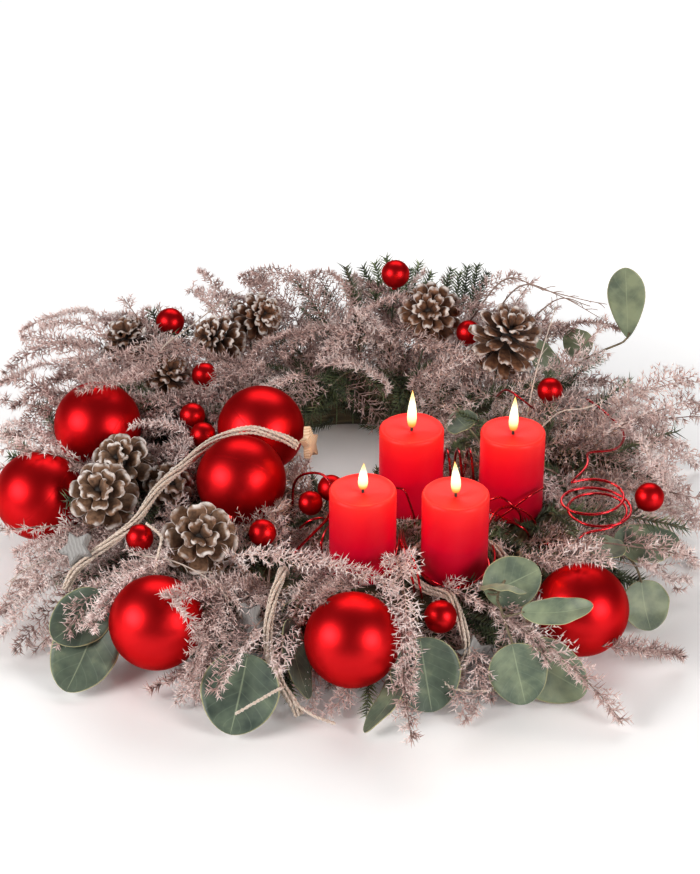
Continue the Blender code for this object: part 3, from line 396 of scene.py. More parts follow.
wick_black = mottled("burnt_wick", [(0.3, (0.006, 0.005, 0.005)), (0.7, (0.05, 0.035, 0.03))],
                     {"Roughness": 0.9}, Scale=1500.0)
steel = mottled("pressed_steel", [(0.3, (0.4, 0.4, 0.41)), (0.7, (0.62, 0.62, 0.63))],
                {"Metallic": 1.0, "Roughness": 0.36}, bumps=0.1, Scale=700.0, Detail=3.0)

flame_light, tree, shader = new_material("flame_light", {"Base Color": (0, 0, 0, 1), "Roughness": 1.0})
rise = step(tree, "SeparateXYZ", {"Vector": place_on(tree, "Generated")}).outputs["Z"]
coloured(tree, shader, rise, [
    (0.0, (0.75, 0.12, 0.015)), (0.12, (1.0, 0.42, 0.06)), (0.26, (1.0, 0.82, 0.42)),
    (0.62, (1.0, 0.92, 0.66)), (0.84, (1.0, 0.72, 0.3)), (1.0, (1.0, 0.4, 0.06))], "Emission Color")
tree.links.new(mapped(tree, rise, 0, 0.35, 0.9, 1.9), shader.inputs["Emission Strength"])

rng = random.Random(5)
for side, (spot, flame_height) in CANDLES.items():
    profile = [(0, CANDLE_FOOT), (26.5, CANDLE_FOOT), (28.3, CANDLE_FOOT + 0.5), (28.95, CANDLE_FOOT + 2)]
    profile += [(28.95 + 0.05 * math.sin(i * 2.1), CANDLE_FOOT + 6 + i * 6) for i in range(12)]
    profile += [(radius, CANDLE_TOP - depth) for radius, depth in CANDLE_RIM]
    body = turned(profile)
    for vertex in body.vertices:
        x, y, z = vertex.co
        if z > CANDLE_TOP - 5:
            vertex.co.z += 0.35 * math.sin(3 * math.atan2(y, x) + spot.x)
        above = z - CANDLE_FOOT - POUR_LINE - 2 * math.sin(2 * math.atan2(y, x) + spot.y)
        line = math.exp(-((above / 1.2) ** 2))
        vertex.co.x *= 1 - 0.004 * line
        vertex.co.y *= 1 - 0.004 * line
    body.transform(Matrix.Translation(spot))
    placed(f"candle_{side}_wax", body, wax, [f"candle_{side}"])
    lean = v(rng.uniform(-1, 1), rng.uniform(-1, 1), 0)
    top = spot + v(0, 0, CANDLE_TOP)
    wick = [top - v(0, 0, 5), top + v(0, 0, 1), top + lean + v(0, 0, 4.5)]
    placed(f"candle_{side}_wick", round_wires([wick], [[1.2, 1.1, 0.9]]), wick_black)
    flame = turned([(FLAME_WIDTH * width, flame_height * rise) for rise, width in FLAME_OUTLINE], 24)
    for vertex in flame.vertices:
        vertex.co.x += 1.6 * (vertex.co.z / flame_height) ** 2 * lean.x
    flame.transform(Matrix.Translation(top + v(0, 0, 0.6)))
    placed(f"candle_{side}_flame", flame, flame_light)
    lamp = bpy.data.lights.new("flame", "POINT")
    lamp.energy = 0.06
    lamp.color = (1.0, 0.55, 0.2)
    lamp.shadow_soft_size = 0.008
    new_object(f"flame_lamp_{side}", lamp).location = (top + v(0, -2, flame_height + 8)) * MM
    dish = turned(SPIKED_DISH, 40)
    dish.transform(Matrix.Translation(spot))
    placed(f"candle_holder_{side}_dish", dish, steel, [f"candle_holder_{side}"])


# Seven large glass balls and thirteen small ones, blown thin, silvered and lacquered in satin red. Each large
# one has a faint seam, a crimped metal cap with a loop, and a wire that fixes it to the ring. They are given
# by their centres, the small ones by their radii too, and by the seat of their wire.
BALL_RADIUS = 40


def on_ring(x, y):
    """A seat on the ring's flat top."""
    return v(x, y, RING_HEIGHT + 0.3)


def beside_ring(degrees, height):
    """A seat on the ring's outer wall."""
    angle, reach = math.radians(degrees), RING_RADIUS - 0.6
    return RING_CENTRE + v(reach * math.cos(angle), reach * math.sin(angle), height)


BALLS = {
    "left_edge": (v(-278, -28, 80), beside_ring(200, 26)),
    "upper_left": (v(-232, 55, 105), on_ring(-190, 62)),
    "by_hole_back": (v(-82, 53, 102), on_ring(-122, 40)),
    "by_hole_front": (v(-97, -28, 96), on_ring(-116, -80)),
    "front_left": (v(-162, -200, 60), beside_ring(236, 30)),
    "front_middle": (v(2, -228, 62), beside_ring(263, 22)),
    "front_right": (v(197, -170, 53), beside_ring(312, 28)),
}
SMALL_BALLS = {
    "back_left": ([(v(-178, 252, 110), 14)], on_ring(-132, 184)),
    "left_middle": ([(v(-139, 151, 105), 12)], on_ring(-140, 142)),
    "left_pair": ([(v(-146, 74, 104), 12), (v(-135, 45, 100), 12)], on_ring(-150, 56)),
    "left_front": ([(v(-182, -107, 85), 12)], on_ring(-166, -84)),
    "inner_left": ([(v(-76, -99, 85), 12)], on_ring(-72, -94)),
    "back": ([(v(45, 278, 150), 14)], on_ring(38, 250)),
    "back_right": ([(v(116, 224, 113), 12)], on_ring(108, 206)),
    "right_back": ([(v(187, 103, 115), 12)], on_ring(170, 96)),
    "right": ([(v(264, -56, 95), 13)], beside_ring(338, 32)),
    "front": ([(v(76, -194, 62), 14)], beside_ring(289, 32)),
    "by_candle": ([(v(-17, -32, 90), 12), (v(-35, -48, 84), 11)], on_ring(-24, -28)),
}


def pick_route(start, seat, joins=False):
    """A wire's way from its piece to its seat, or to the stalk that it is twisted round."""
    if joins:
        return [start, start.lerp(seat, 0.4) + v(0, 0, 3), seat + v(0, 0, 7)]
    if seat.z > RING_HEIGHT:
        return [start, seat + v(0, 0, 9), seat]
    return [start, seat + (seat - RING_CENTRE - v(0, 0, seat.z)).normalized() * 8, seat]


def turned_to(direction, centre):
    """Turns a piece that was made upright to a direction, and moves it to its place."""
    return Matrix.Translation(centre) @ direction.to_track_quat("Z", "Y").to_matrix().to_4x4()


glass, tree, shader = new_material("satin_red_glass", {
    "Metallic": 0.9, "Specular Tint": (0.5, 0.0, 0.01, 1), "Coat Weight": 0.03, "Coat Roughness": 0.35})
place = place_on(tree)
coloured(tree, shader, noise(tree, place, Scale=14.0, Detail=2.0),
         [(0.3, (0.54, 0.006, 0.009)), (0.7, (0.64, 0.01, 0.013))])
haze = noise(tree, place, Scale=900.0, Detail=6.0, Roughness=0.7)
tree.links.new(mapped(tree, haze, 0, 1, 0.34, 0.46), shader.inputs["Roughness"])
relief(tree, shader, haze, 0.035, 0.0004)
cap_metal = mottled("gilt_cap", [(0.3, (0.5, 0.02, 0.02)), (0.7, (0.72, 0.1, 0.08))],
                    {"Metallic": 1.0, "Roughness": 0.28}, Scale=500.0)
pick_metal = mottled("florist_wire", [(0.3, (0.035, 0.05, 0.03)), (0.7, (0.09, 0.1, 0.06))],
                     {"Metallic": 0.4, "Roughness": 0.5}, Scale=800.0)
SEAM = [(-1, 0), (-0.45, 0.02), (0, 0.16), (0.45, 0.02), (1, 0)]


def glass_ball(radius, centre, pole, rings, seam):
    """A blown ball with its neck at its pole, the large ones with a shallow seam round the girth."""
    profile = []
    for i in range(rings + 1):
        bend = math.pi * (i / rings - 0.5)
        profile.append((radius * math.cos(bend), radius * math.sin(bend)))
    if seam:
        profile = [point for point in profile if abs(point[1]) > 1.6]
        profile += [(math.sqrt(radius**2 - z**2) - depth, z) for z, depth in SEAM]
        profile.sort(key=lambda point: point[1])
    ball = turned(profile, 56 if seam else 32)
    ball.transform(turned_to(pole, centre))
    return ball


def crimped_cap(radius, height, flutes=18):
    """A pressed cap with a fluted skirt and a flat top."""
    profile = [(radius + 0.35, -0.3), (radius + 0.2, 0.4), (radius, 1.0), (radius - 0.3, height - 1),
               (radius - 1.0, height), (0, height + 0.2)]
    cap = turned(profile, flutes * 4)
    for vertex in cap.vertices:
        if vertex.co.z < 1.2:
            flare = 1 + 0.035 * math.cos(flutes * math.atan2(vertex.co.y, vertex.co.x))
            vertex.co.x *= flare
            vertex.co.y *= flare
    return cap


def joined(meshes):
    """Several meshes as one."""
    shape = bmesh.new()
    for mesh in meshes:
        shape.from_mesh(mesh)
    return finished(shape, "joined")


for spot, (centre, seat) in BALLS.items():
    wire = pick_route(centre, seat)
    pole = (wire[1] - centre).normalized()
    ball = glass_ball(BALL_RADIUS, centre, pole, 32, True)
    placed(f"bauble_{spot}_glass", ball, glass, [f"bauble_{spot}"])
    loop = [v(3.2 * math.cos(a), 0, 7 + 3.2 * math.sin(a)) for a in [2 * math.pi * k / 20 for k in range(20)]]
    cap = joined([crimped_cap(7, 5), round_wires([loop], 0.5, 6, closed=True)])
    cap.transform(turned_to(pole, centre + pole * (BALL_RADIUS - 1)))
    placed(f"bauble_{spot}_cap", cap, cap_metal)
    wire[0] = centre + pole * (BALL_RADIUS + 5)
    placed(f"bauble_{spot}_wire", round_wires([wire], 0.9), pick_metal)

for spot, (balls, seat) in SMALL_BALLS.items():
    bodies, stalks = [], []
    for i, (centre, radius) in enumerate(balls):
        wire = pick_route(centre, seat, joins=i > 0)
        pole = (wire[1] - centre).normalized()
        bodies.append(glass_ball(radius, centre, pole, 18, False))
        neck = turned([(2.6, -0.6), (2.6, 1.6), (1.6, 2.4), (0, 2.4)], 20)
        neck.transform(turned_to(pole, centre + pole * (radius - 0.4)))
        bodies.append(neck)
        wire[0] = centre + pole * radius
        stalks.append(wire)
    placed(f"small_bauble_{spot}_glass", joined(bodies), glass, [f"small_bauble_{spot}"])
    placed(f"small_bauble_{spot}_wire", round_wires(stalks, 0.8, 6), pick_metal)


# Open pine cones on wire picks. Their scales stand in close spirals, brown and woody, each with a thick blunt
# end that was brushed with white. A cone is given by its centre, its axis, its length and its width.
CONES = {
    "back_left": (
        [(v(-218, 228, 100), v(-0.2, -0.3, 1), 34, 46), (v(-176, 168, 92), v(0.3, -0.4, 1), 30, 44)],
        on_ring(-152, 164),
    ),
    "back_pair": (
        [(v(-130, 226, 104), v(-0.6, -0.6, 0.5), 40, 42), (v(-92, 262, 111), v(0.5, -0.7, 0.6), 42, 42)],
        on_ring(-96, 208),
    ),
    "left_pair": (
        [(v(-204, -2, 97), v(-0.2, -0.6, 0.7), 50, 50), (v(-163, -12, 80), v(0.3, -0.7, 0.6), 36, 38)],
        on_ring(-176, 14),
    ),
    "left": ([(v(-217, -61, 100), v(-0.1, -0.7, 0.75), 46, 54)], on_ring(-182, -42)),
    "front_left": ([(v(-130, -112, 86), v(0.1, -0.75, 0.7), 50, 60)], on_ring(-122, -86)),
    "back": ([(v(79, 246, 122), v(-0.1, -0.75, 0.6), 48, 56)], on_ring(66, 232)),
    "back_right": ([(v(150, 190, 122), v(0.25, -0.35, 0.9), 46, 66)], on_ring(136, 172)),
}


def cone_material(name, browns):
    """Brown woody scales, painted darker down between them as shade, with white dabbed on their ends."""
    material, tree, shader = new_material(name, {"Roughness": 0.7})
    place = place_on(tree)
    tip = step(tree, "Attribute", attribute_name="tip").outputs["Fac"]
    grain = noise(tree, place, Scale=240.0, Detail=5.0)
    shade = mapped(tree, tip, 0.2, 0.9, 0.06)
    brown = shades(tree, grain, browns)
    shaded = step(tree, "VectorMath", {0: brown, "Scale": shade}, operation="SCALE").outputs[0]
    dabs = mapped(tree, noise(tree, place, Scale=130.0, Detail=3.0), 0.38, 0.6, 0, 0.95)
    cover = maths(tree, "MULTIPLY", mapped(tree, tip, 0.88, 0.96), dabs)
    tree.links.new(blended(tree, cover, shaded, (0.8, 0.74, 0.7, 1)), shader.inputs["Base Color"])
    relief(tree, shader, grain, 0.4)
    return material


def cone_scales(centre, axis, length, width, slim, rng):
    """Scales from the stalk end to the tip of a cone, each turned by the golden angle from the last."""
    points, faces, tips = [], [], []
    count = 46 if slim else 30
    across = (-1.0, -0.72, 0.0, 0.72, 1.0) if slim else (-1.0, -0.82, -0.4, 0.0, 0.4, 0.82, 1.0)
    stations = {0.0: 0.35, 0.3: 0.6, 0.6: 0.9, 0.82: 1.0, 0.94: 0.8, 1.0: 0.42}
    for i in range(count):
        t = (i + 0.5) / count
        girth = width / 2 * math.sin(math.pi * (0.2 + 0.72 * t)) ** 0.8
        turn = i * math.radians(137.508)
        pitch = math.radians(-18 + 88 * t**1.1 + rng.uniform(-5, 5))
        outwards = way_to(turn)
        sideways = v(-math.sin(turn), math.cos(turn), 0)
        along = outwards * math.cos(pitch) + v(0, 0, math.sin(pitch))
        upward = along.cross(sideways) * -1
        reach = girth * 1.08 + 2.5
        root = v(0, 0, length * (t * 0.8 - 0.42))
        wide = (4.4 + 0.16 * girth) * (0.68 if slim else 1)
        start = len(points)
        for face in (1, -1):
            for s, share in stations.items():
                spread = wide * share
                for a in across:
                    thick = (0.4 + 0.6 * max(0, s - 0.55) / 0.45) * (1 - 0.3 * abs(a))
                    cup = 2.4 * a * a * s + 3.0 * s**3
                    spot = root + along * (reach * s - 0.08 * wide * a * a) + sideways * (spread * a)
                    spot += upward * (cup + face * thick * (0.6 if s == 1.0 else 1))
                    points.append(spot)
                    tips.append(max(s, abs(a) * min(1.0, 1.5 * s)))
        n, m = len(stations), len(across)
        for row in range(n - 1):
            for col in range(m - 1):
                a = start + row * m + col
                faces.append((a, a + 1, a + m + 1, a + m))
                b = a + n * m
                faces.append((b, b + m, b + m + 1, b + 1))
        for row in range(n - 1):
            for col, order in ((0, 1), (m - 1, -1)):
                a = start + row * m + col
                faces.append((a, a + m, a + m + n * m, a + n * m)[::order])
        for col in range(m - 1):
            for row, order in ((0, -1), (n - 1, 1)):
                a = start + row * m + col
                faces.append((a, a + 1, a + 1 + n * m, a + n * m)[::order])
    mesh = bpy.data.meshes.new("scales")
    mesh.from_pydata(points, [], faces)
    mesh.attributes.new("tip", "FLOAT", "POINT").data.foreach_set("value", tips)
    mesh.transform(turned_to(axis.normalized(), centre))
    return mesh


def cone_core(centre, axis, length, width):
    """The spindle inside a cone, that its scales grow from."""
    profile = [(0, -0.46), (0.22, -0.42), (0.42, -0.25), (0.42, 0.0), (0.3, 0.25), (0.12, 0.42), (0, 0.45)]
    core = turned([(width / 2 * r, length * z) for r, z in profile], 16)
    core.attributes.new("tip", "FLOAT", "POINT")
    core.transform(turned_to(axis.normalized(), centre))
    return core


near_cone = cone_material("near_cones", [(0.3, (0.07, 0.031, 0.014)), (0.5, (0.16, 0.078, 0.038)),
                                         (0.7, (0.27, 0.145, 0.08))])
far_cone = cone_material("far_cones", [(0.3, (0.06, 0.021, 0.01)), (0.5, (0.15, 0.06, 0.026)),
                                       (0.7, (0.27, 0.12, 0.054))])
rng = random.Random(11)
for spot, (heads, seat) in CONES.items():
    bodies, stalks = [], []
    at_back = spot.startswith("back")
    for i, (centre, axis, length, width) in enumerate(heads):
        bodies.append(cone_scales(centre, axis, length, width, at_back, rng))
        bodies.append(cone_core(centre, axis, length, width))
        stalks.append(pick_route(centre - axis.normalized() * length * 0.4, seat, joins=i > 0))
    brown = far_cone if at_back else near_cone
    placed(f"cone_{spot}_scales", joined(bodies), brown, [f"cone_{spot}"])
    placed(f"cone_{spot}_wire", round_wires(stalks, 0.9, 6), pick_metal)


# Leafy eucalyptus twigs: thick round grey-green leaves with a pale rib, fine side veins and a thin yellowish
# edge, on short stalks along a woody stem.
LEAF_TONES = {"left": 0.1, "front_left": 0.0, "front_middle": 0.2, "front_right": 0.55, "right": 0.5,
              "behind_candles": 0.45, "back_right": 0.75}

# The way of each stem, and for each leaf its foot and tip, the way it faces, its width, how far it is cupped
# and folded, and, where it is pointed, how full it is.
LEAFY_TWIGS = {
    "back_right": (
        [on_ring(166, 144), (166, 144, 63), (190, 176, 78), (232, 200, 98), (266, 206, 112),
         (271, 206, 122)],
        [
            ((270, 206, 116), (264, 212, 189), (-0.15, -1, 0.2), 37, 0.05, 0.1, 1.45),
            ((232, 200, 102), (212, 226, 112), (-0.2, -0.8, 0.6), 30, 0.1, 0.15),
            ((200, 182, 86), (182, 230, 102), (0.2, -0.7, 0.7), 28, 0.1, 0.2),
        ],
    ),
    "behind_candles": (
        [on_ring(128, 70), (128, 70, 63), (120, 82, 74), (112, 92, 80)],
        [((112, 92, 80), (98, 128, 76), (-0.2, -0.5, 0.8), 32, 0.1, 0.15)],
    ),
    "right": (
        [on_ring(182, -66), (182, -66, 63), (204, -76, 68), (228, -84, 66), (248, -100, 54), (254, -114, 44)],
        [
            ((232, -84, 67), (290, -80, 64), (0, -0.4, 0.9), 42, 0.1, 0.1),
            ((214, -80, 67), (236, -112, 70), (0.2, -0.5, 0.85), 30, 0.1, 0.15),
            ((254, -112, 44), (262, -136, 8), (0.3, -0.9, 0.3), 46, 0.08, 0.1),
        ],
    ),
    "front_right": (
        [on_ring(146, -98), (146, -98, 63), (147, -126, 80), (138, -154, 84), (124, -184, 78),
         (126, -206, 76), (132, -220, 62), (136, -227, 54)],
        [
            ((114, -180, 75), (160, -164, 90), (-0.1, -0.75, 0.65), 46, 0.06, 0.1),
            ((110, -176, 80), (146, -206, 94), (0.2, -0.5, -0.85), 16, 0.1, 0.45),
            ((142, -214, 80), (200, -222, 92), (0, -0.55, 0.85), 25, 0.12, 0.2),
            ((134, -228, 58), (146, -244, 8), (0.05, -0.93, 0.35), 50, 0.07, 0.1),
            ((138, -218, 44), (198, -226, 7), (0.2, -0.85, 0.5), 52, 0.08, 0.12),
        ],
    ),
    "front_middle": (
        [on_ring(40, -148), (40, -148, 63), (48, -178, 70), (56, -206, 66), (58, -220, 58)],
        [
            ((58, -222, 60), (68, -252, 6), (0.1, -0.9, 0.4), 60, 0.07, 0.12),
            ((54, -224, 52), (12, -280, 6), (-0.6, -0.6, 0.5), 24, 0.1, 0.35),
        ],
    ),
    "front_left": (
        [on_ring(-36, -142), (-36, -142, 63), (-40, -166, 72), (-44, -194, 74), (-48, -202, 52),
         (-66, -222, 40), (-78, -236, 48), (-83, -243, 55)],
        [
            ((-51, -212, 72), (-34, -250, 18), (0.45, -0.85, 0.35), 22, 0.1, 0.2),
            ((-84, -242, 58), (-98, -284, 7), (-0.1, -0.85, 0.5), 66, 0.07, 0.1),
            ((-44, -188, 75), (-50, -194, 46), (0.1, -0.95, 0.3), 22, 0.1, 0.2),
        ],
    ),
    "left": (
        [on_ring(-156, -96), (-156, -96, 63), (-174, -130, 74), (-196, -156, 72), (-208, -168, 60)],
        [
            ((-206, -166, 64), (-250, -196, 40), (-0.1, -0.8, 0.6), 48, 0.1, 0.12),
            ((-212, -174, 52), (-238, -226, 8), (-0.1, -0.75, 0.65), 58, 0.08, 0.1),
        ],
    ),
}


def smooth_route(corners, spacing):
    """Points about every spacing along a smooth curve through the corners."""
    corners = [Vector(corner) for corner in corners]
    ends = [corners[0] * 2 - corners[1], *corners, corners[-1] * 2 - corners[-2]]
    route = []
    for i in range(1, len(ends) - 2):
        a, b, c, d = ends[i - 1 : i + 3]
        steps = max(1, round((c - b).length / spacing))
        for k in range(steps):
            t = k / steps
            route.append(0.5 * (2 * b + (c - a) * t + (2 * a - 5 * b + 4 * c - d) * t**2
                                + (3 * b - a - 3 * c + d) * t**3))
    route.append(corners[-1])
    return route


def leaf_blade(base, tip, face, width, cup, fold, number, tone, fullest=0.88):
    """One blade, cupped or folded along its rib, with a gently waved edge."""
    axis = tip - base
    length = axis.length
    axis.normalize()
    across = axis.cross(face).normalized()
    up = across.cross(axis).normalized()
    rows, columns = 22, 12
    points, faces, where = [], [], []
    for i in range(rows + 1):
        t = 0.5 - 0.5 * math.cos(math.pi * i / rows)
        half = width / 2 * math.sin(math.pi * min(t, 0.9995) ** fullest) ** 0.5
        middle = base + axis * length * t - up * (cup * length * math.sin(math.pi * t))
        for k in range(columns + 1):
            s = 2 * k / columns - 1
            wave = 1.1 * math.sin(5.1 * t * math.pi + number + (1.3 if s > 0 else 0)) * abs(s) ** 2
            lift = abs(s) ** 1.2 * half * fold + wave * half / (width / 2)
            spot = middle + across * (half * s * math.sqrt(1 - fold**2)) + up * lift
            points.append(spot)
            where.append((s, t, tone))
    for i in range(rows):
        for k in range(columns):
            a = i * (columns + 1) + k
            faces.append((a, a + 1, a + columns + 2, a + columns + 1))
    mesh = bpy.data.meshes.new("blade")
    mesh.from_pydata(points, [], faces)
    mesh.attributes.new("where", "FLOAT_VECTOR", "POINT").data.foreach_set(
        "vector", [number for place in where for number in place])
    blade = new_object("blade", mesh)
    solid = blade.modifiers.new("thickness", "SOLIDIFY")
    solid.thickness = 0.7
    solid.offset = 0
    return settled(blade)


leaf, tree, shader = new_material("eucalyptus_leaf", {"Roughness": 0.52, "Sheen Weight": 0.15})
where = step(tree, "Attribute", attribute_name="where").outputs["Vector"]
parts = step(tree, "SeparateXYZ", {"Vector": where}).outputs
aside = maths(tree, "ABSOLUTE", parts["X"])
slant = maths(tree, "MULTIPLY_ADD", aside, -0.32, parts["Y"])
saw = maths(tree, "PINGPONG", maths(tree, "MULTIPLY", slant, 13.0), 1.0)
vein = maths(tree, "MULTIPLY", mapped(tree, saw, 0.0, 0.14, 1.0, 0.0), 0.2)
rib = mapped(tree, aside, 0.01, 0.032, 0.55, 0.0)
edge = mapped(tree, aside, 0.955, 0.99)
mottle = noise(tree, place_on(tree), Scale=55.0, Detail=6.0)
green = shades(tree, maths(tree, "MULTIPLY_ADD", parts["Z"], 0.45, mottle),
               [(0.35, (0.028, 0.046, 0.035)), (0.65, (0.09, 0.125, 0.085)), (0.95, (0.24, 0.29, 0.175))])
green = blended(tree, vein, green, (0.24, 0.31, 0.22, 1))
green = blended(tree, rib, green, (0.32, 0.38, 0.24, 1))
green = blended(tree, edge, green, (0.42, 0.4, 0.2, 1))
tree.links.new(green, shader.inputs["Base Color"])
relief(tree, shader, maths(tree, "ADD", rib, vein), 0.35, 0.0006)
bark = mottled("twig_bark", [(0.3, (0.07, 0.05, 0.03)), (0.7, (0.24, 0.2, 0.12))], {"Roughness": 0.8},
               on_object=True, bumps=0.5, Scale=300.0, Detail=5.0)

for spot, (stem, leaves) in LEAFY_TWIGS.items():
    route = smooth_route(stem, 5)
    blades, stalks = [], [route]
    radii = [[1.6 - 0.6 * i / (len(route) - 1) for i in range(len(route))]]
    for number, (base, tip, face, width, cup, fold, *fullest) in enumerate(leaves):
        base, tip, face = Vector(base), Vector(tip), Vector(face)
        near = min(route[4:], key=lambda point: (point - base).length)
        stalks.append([near, near.lerp(base, 0.5) + v(0, 0, -0.5), base + (tip - base) * 0.04])
        radii.append([1.0, 0.9, 0.7])
        tone = LEAF_TONES[spot] + 0.25 * ((number * 0.37) % 1)
        blades.append(leaf_blade(base, tip, face, width, cup, fold, number + len(spot), tone, *fullest))
    placed(f"eucalyptus_{spot}_leaves", joined(blades), leaf, [f"eucalyptus_{spot}"])
    placed(f"eucalyptus_{spot}_stem", round_wires(stalks, radii), bark)


# Bunches of dyed pink fern and of green fir, tied all along the ring. Each solid shoot is drawn finer: its
# stem stays where it is, and each of its coarse points becomes a feathery side twig of many short needles.
FERNS = ["back_left", "left", "front_left", "front_right", "right", "back_right"]
FIRS = ["back", "left", "right"]


def node_shape(node, quads=False):
    """A solid of the frame in millimetres, with its corners joined, and its triangles too for quads."""
    shape = bmesh.new()
    shape.from_mesh(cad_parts[node].data)
    bmesh.ops.remove_doubles(shape, verts=shape.verts, dist=0.02 * MM)
    if quads:
        bmesh.ops.join_triangles(shape, faces=shape.faces, cmp_seam=False, cmp_sharp=False, cmp_uvs=False,
                                 cmp_vcols=False, angle_face_threshold=0.7, angle_shape_threshold=3.1)
    shape.transform(Matrix.Scale(1 / MM, 4))
    return shape


def shoot_points(node):
    """A bunch's stems without their points, and for each point its foot, its tip and its stretch of stem."""
    shape = node_shape(node)
    points, ends = [], []
    for vertex in shape.verts:
        around = [edge.other_vert(vertex).co for edge in vertex.link_edges]
        if min((corner - vertex.co).length for corner in around) < 4:
            continue
        foot = sum(around, Vector()) / len(around)
        stretch = max((a - b for a in around for b in around), key=lambda way: way.length)
        if stretch.dot(vertex.co - foot) < 0:
            stretch = -stretch
        points.append((foot, vertex.co.copy(), stretch))
        ends.append(vertex)
    bmesh.ops.dissolve_verts(shape, verts=ends)
    return finished(shape, "stems"), points


LOWEST_STEM = 5
LOWEST_ROOT = 1
LOWEST_TIP = 0.4


def needle_mesh(roots, tips, widths, tones_and_light):
    """Each needle is a slim closed point: three corners round its root and one at its tip."""
    roots, tips, widths = np.array(roots), np.array(tips), np.array(widths)
    roots[:, 2] = np.maximum(roots[:, 2], LOWEST_ROOT)
    tips[:, 2] = np.maximum(tips[:, 2], LOWEST_TIP)
    along = tips - roots
    along /= np.linalg.norm(along, axis=1)[:, None]
    helper = np.where(np.abs(along[:, 2:3]) < 0.9, [[0.0, 0.0, 1.0]], [[1.0, 0.0, 0.0]])
    side = np.cross(along, helper)
    side /= np.linalg.norm(side, axis=1)[:, None]
    other = np.cross(along, side)
    rows = [roots + (side * math.cos(angle) + other * math.sin(angle)) * widths[:, None]
            for angle in (0, 2 * math.pi / 3, 4 * math.pi / 3)]
    points = np.stack([*rows, tips], axis=1).reshape(-1, 3)
    order = np.array([[0, 1, 3], [1, 2, 3], [2, 0, 3], [2, 1, 0]])
    faces = (4 * np.arange(len(roots))[:, None, None] + order[None]).reshape(-1)
    mesh = bpy.data.meshes.new("needles")
    mesh.vertices.add(len(points))
    mesh.vertices.foreach_set("co", points.astype(np.float32).reshape(-1))
    mesh.loops.add(len(faces))
    mesh.loops.foreach_set("vertex_index", faces.astype(np.int32))
    mesh.polygons.add(len(faces) // 3)
    mesh.polygons.foreach_set("loop_start", np.arange(0, len(faces), 3, dtype=np.int32))
    mesh.update()
    mesh.validate()
    tone_and_light = mesh.attributes.new("tone_and_light", "FLOAT", "POINT")
    tone_and_light.data.foreach_set("value", np.repeat(np.array(tones_and_light), 4).astype(np.float32))
    return mesh


def room_for(point):
    """Whether a point is free of candles, balls, cones, straw and hole, and within the wreath's outline."""
    x, y, z = point
    if z < LEAST_HEIGHT or z > MOST_HEIGHT or abs(x) > WIDEST or not FRONT_END < y < BACK_END:
        return False
    if HOLE_LEFT < x < HOLE_RIGHT and HOLE_FRONT < y < HOLE_BACK:
        return False
    in_ring = math.dist((x, y), RING_CENTRE.xy) < RING_RADIUS - WALL_DEPTH
    past_hole = math.dist((x, y), HOLE_CENTRE.xy) > HOLE_RADIUS + WALL_DEPTH
    if in_ring and past_hole and z < RING_HEIGHT - TOP_DEPTH:
        return False
    for cx, cy, cz, reach in SOLID_SPOTS:
        if (x - cx) ** 2 + (y - cy) ** 2 + (z - cz) ** 2 < reach * reach:
            return False
    clear = BY_CANDLE if z < CANDLE_TOP else BY_FLAME if z < FLAME_TOP else 0
    for cx, cy in CANDLE_SPOTS:
        if (x - cx) ** 2 + (y - cy) ** 2 < clear * clear:
            return False
    return True


def pushed_out(point):
    """A point of a stem, moved out of any ball or candle that it would enter, and up from the table."""
    for cx, cy, cz, reach in SOLID_SPOTS:
        way = point - v(cx, cy, cz)
        if way.length < reach + BALL_GAP:
            point = v(cx, cy, cz) + way.normalized() * (reach + BALL_GAP)
    for cx, cy in CANDLE_SPOTS:
        way = v(point.x - cx, point.y - cy, 0)
        if way.length < CANDLE_CLEAR and point.z < CANDLE_TOP + BALL_GAP:
            point = v(cx, cy, point.z) + way.normalized() * CANDLE_CLEAR
    point.z = max(point.z, LOWEST_STEM)
    return point


def in_front(point):
    """Whether a point hides the face of a ball, cone, candle, leaf or twine, where fern is combed aside."""
    for cx, cy, cz, reach in SHOWN_SPOTS:
        dx, dy, dz = point[0] - cx, point[1] - cy, point[2] - cz
        run = FRONT_Y * dy + FRONT_Z * dz
        if 0 < run < COMBED and dx * dx + dy * dy + dz * dz - run * run < reach * reach:
            return True
    return False


# The room that foliage has: the wreath's outline, less the open middle of the hole and the space of candles
# and flames. It may reach a little way into the straw.
WIDEST = 362
FRONT_END, BACK_END = -342, 402
LEAST_HEIGHT, MOST_HEIGHT = 1.5, 194
HOLE_LEFT, HOLE_RIGHT = -47, 60
HOLE_FRONT, HOLE_BACK = 80, 182
WALL_DEPTH = 6
TOP_DEPTH = 10
BY_CANDLE = 30
BY_FLAME = 12
FLAME_TOP = CANDLE_TOP + 39

# What stems and needles keep clear of, as points with a reach: first what is solid, then the faces that show
# from the wreath's front and 30 degrees up, which are the balls, cones, candles, four leaves and the twine.
BALL_GAP = 3
CANDLE_CLEAR = 36
COMBED = 130
FRONT_Y = -0.866
FRONT_Z = 0.5
SOLID_SPOTS = [(*centre, BALL_RADIUS + 0.5) for centre, _ in BALLS.values()]
SOLID_SPOTS += [(*centre, radius + 0.5) for balls, _ in SMALL_BALLS.values() for centre, radius in balls]
SOLID_SPOTS += [(*centre, 0.46 * min(length, width)) for heads, _ in CONES.values()
                for centre, _, length, width in heads]
CANDLE_SPOTS = [(spot.x, spot.y) for spot, _ in CANDLES.values()]
SHOWN_SPOTS = [(x, y, z, (0.62 if reach > 25 else 0.7) * reach) for x, y, z, reach in SOLID_SPOTS]
SHOWN_SPOTS += [(spot.x, spot.y, height, 27) for spot, _ in CANDLES.values() for height in (106, 126, 146)]
SHOWN_SPOTS += [(272, 210, 158, 18), (236, -92, 66, 18), (128, -172, 84, 18), (154, -206, 92, 16)]
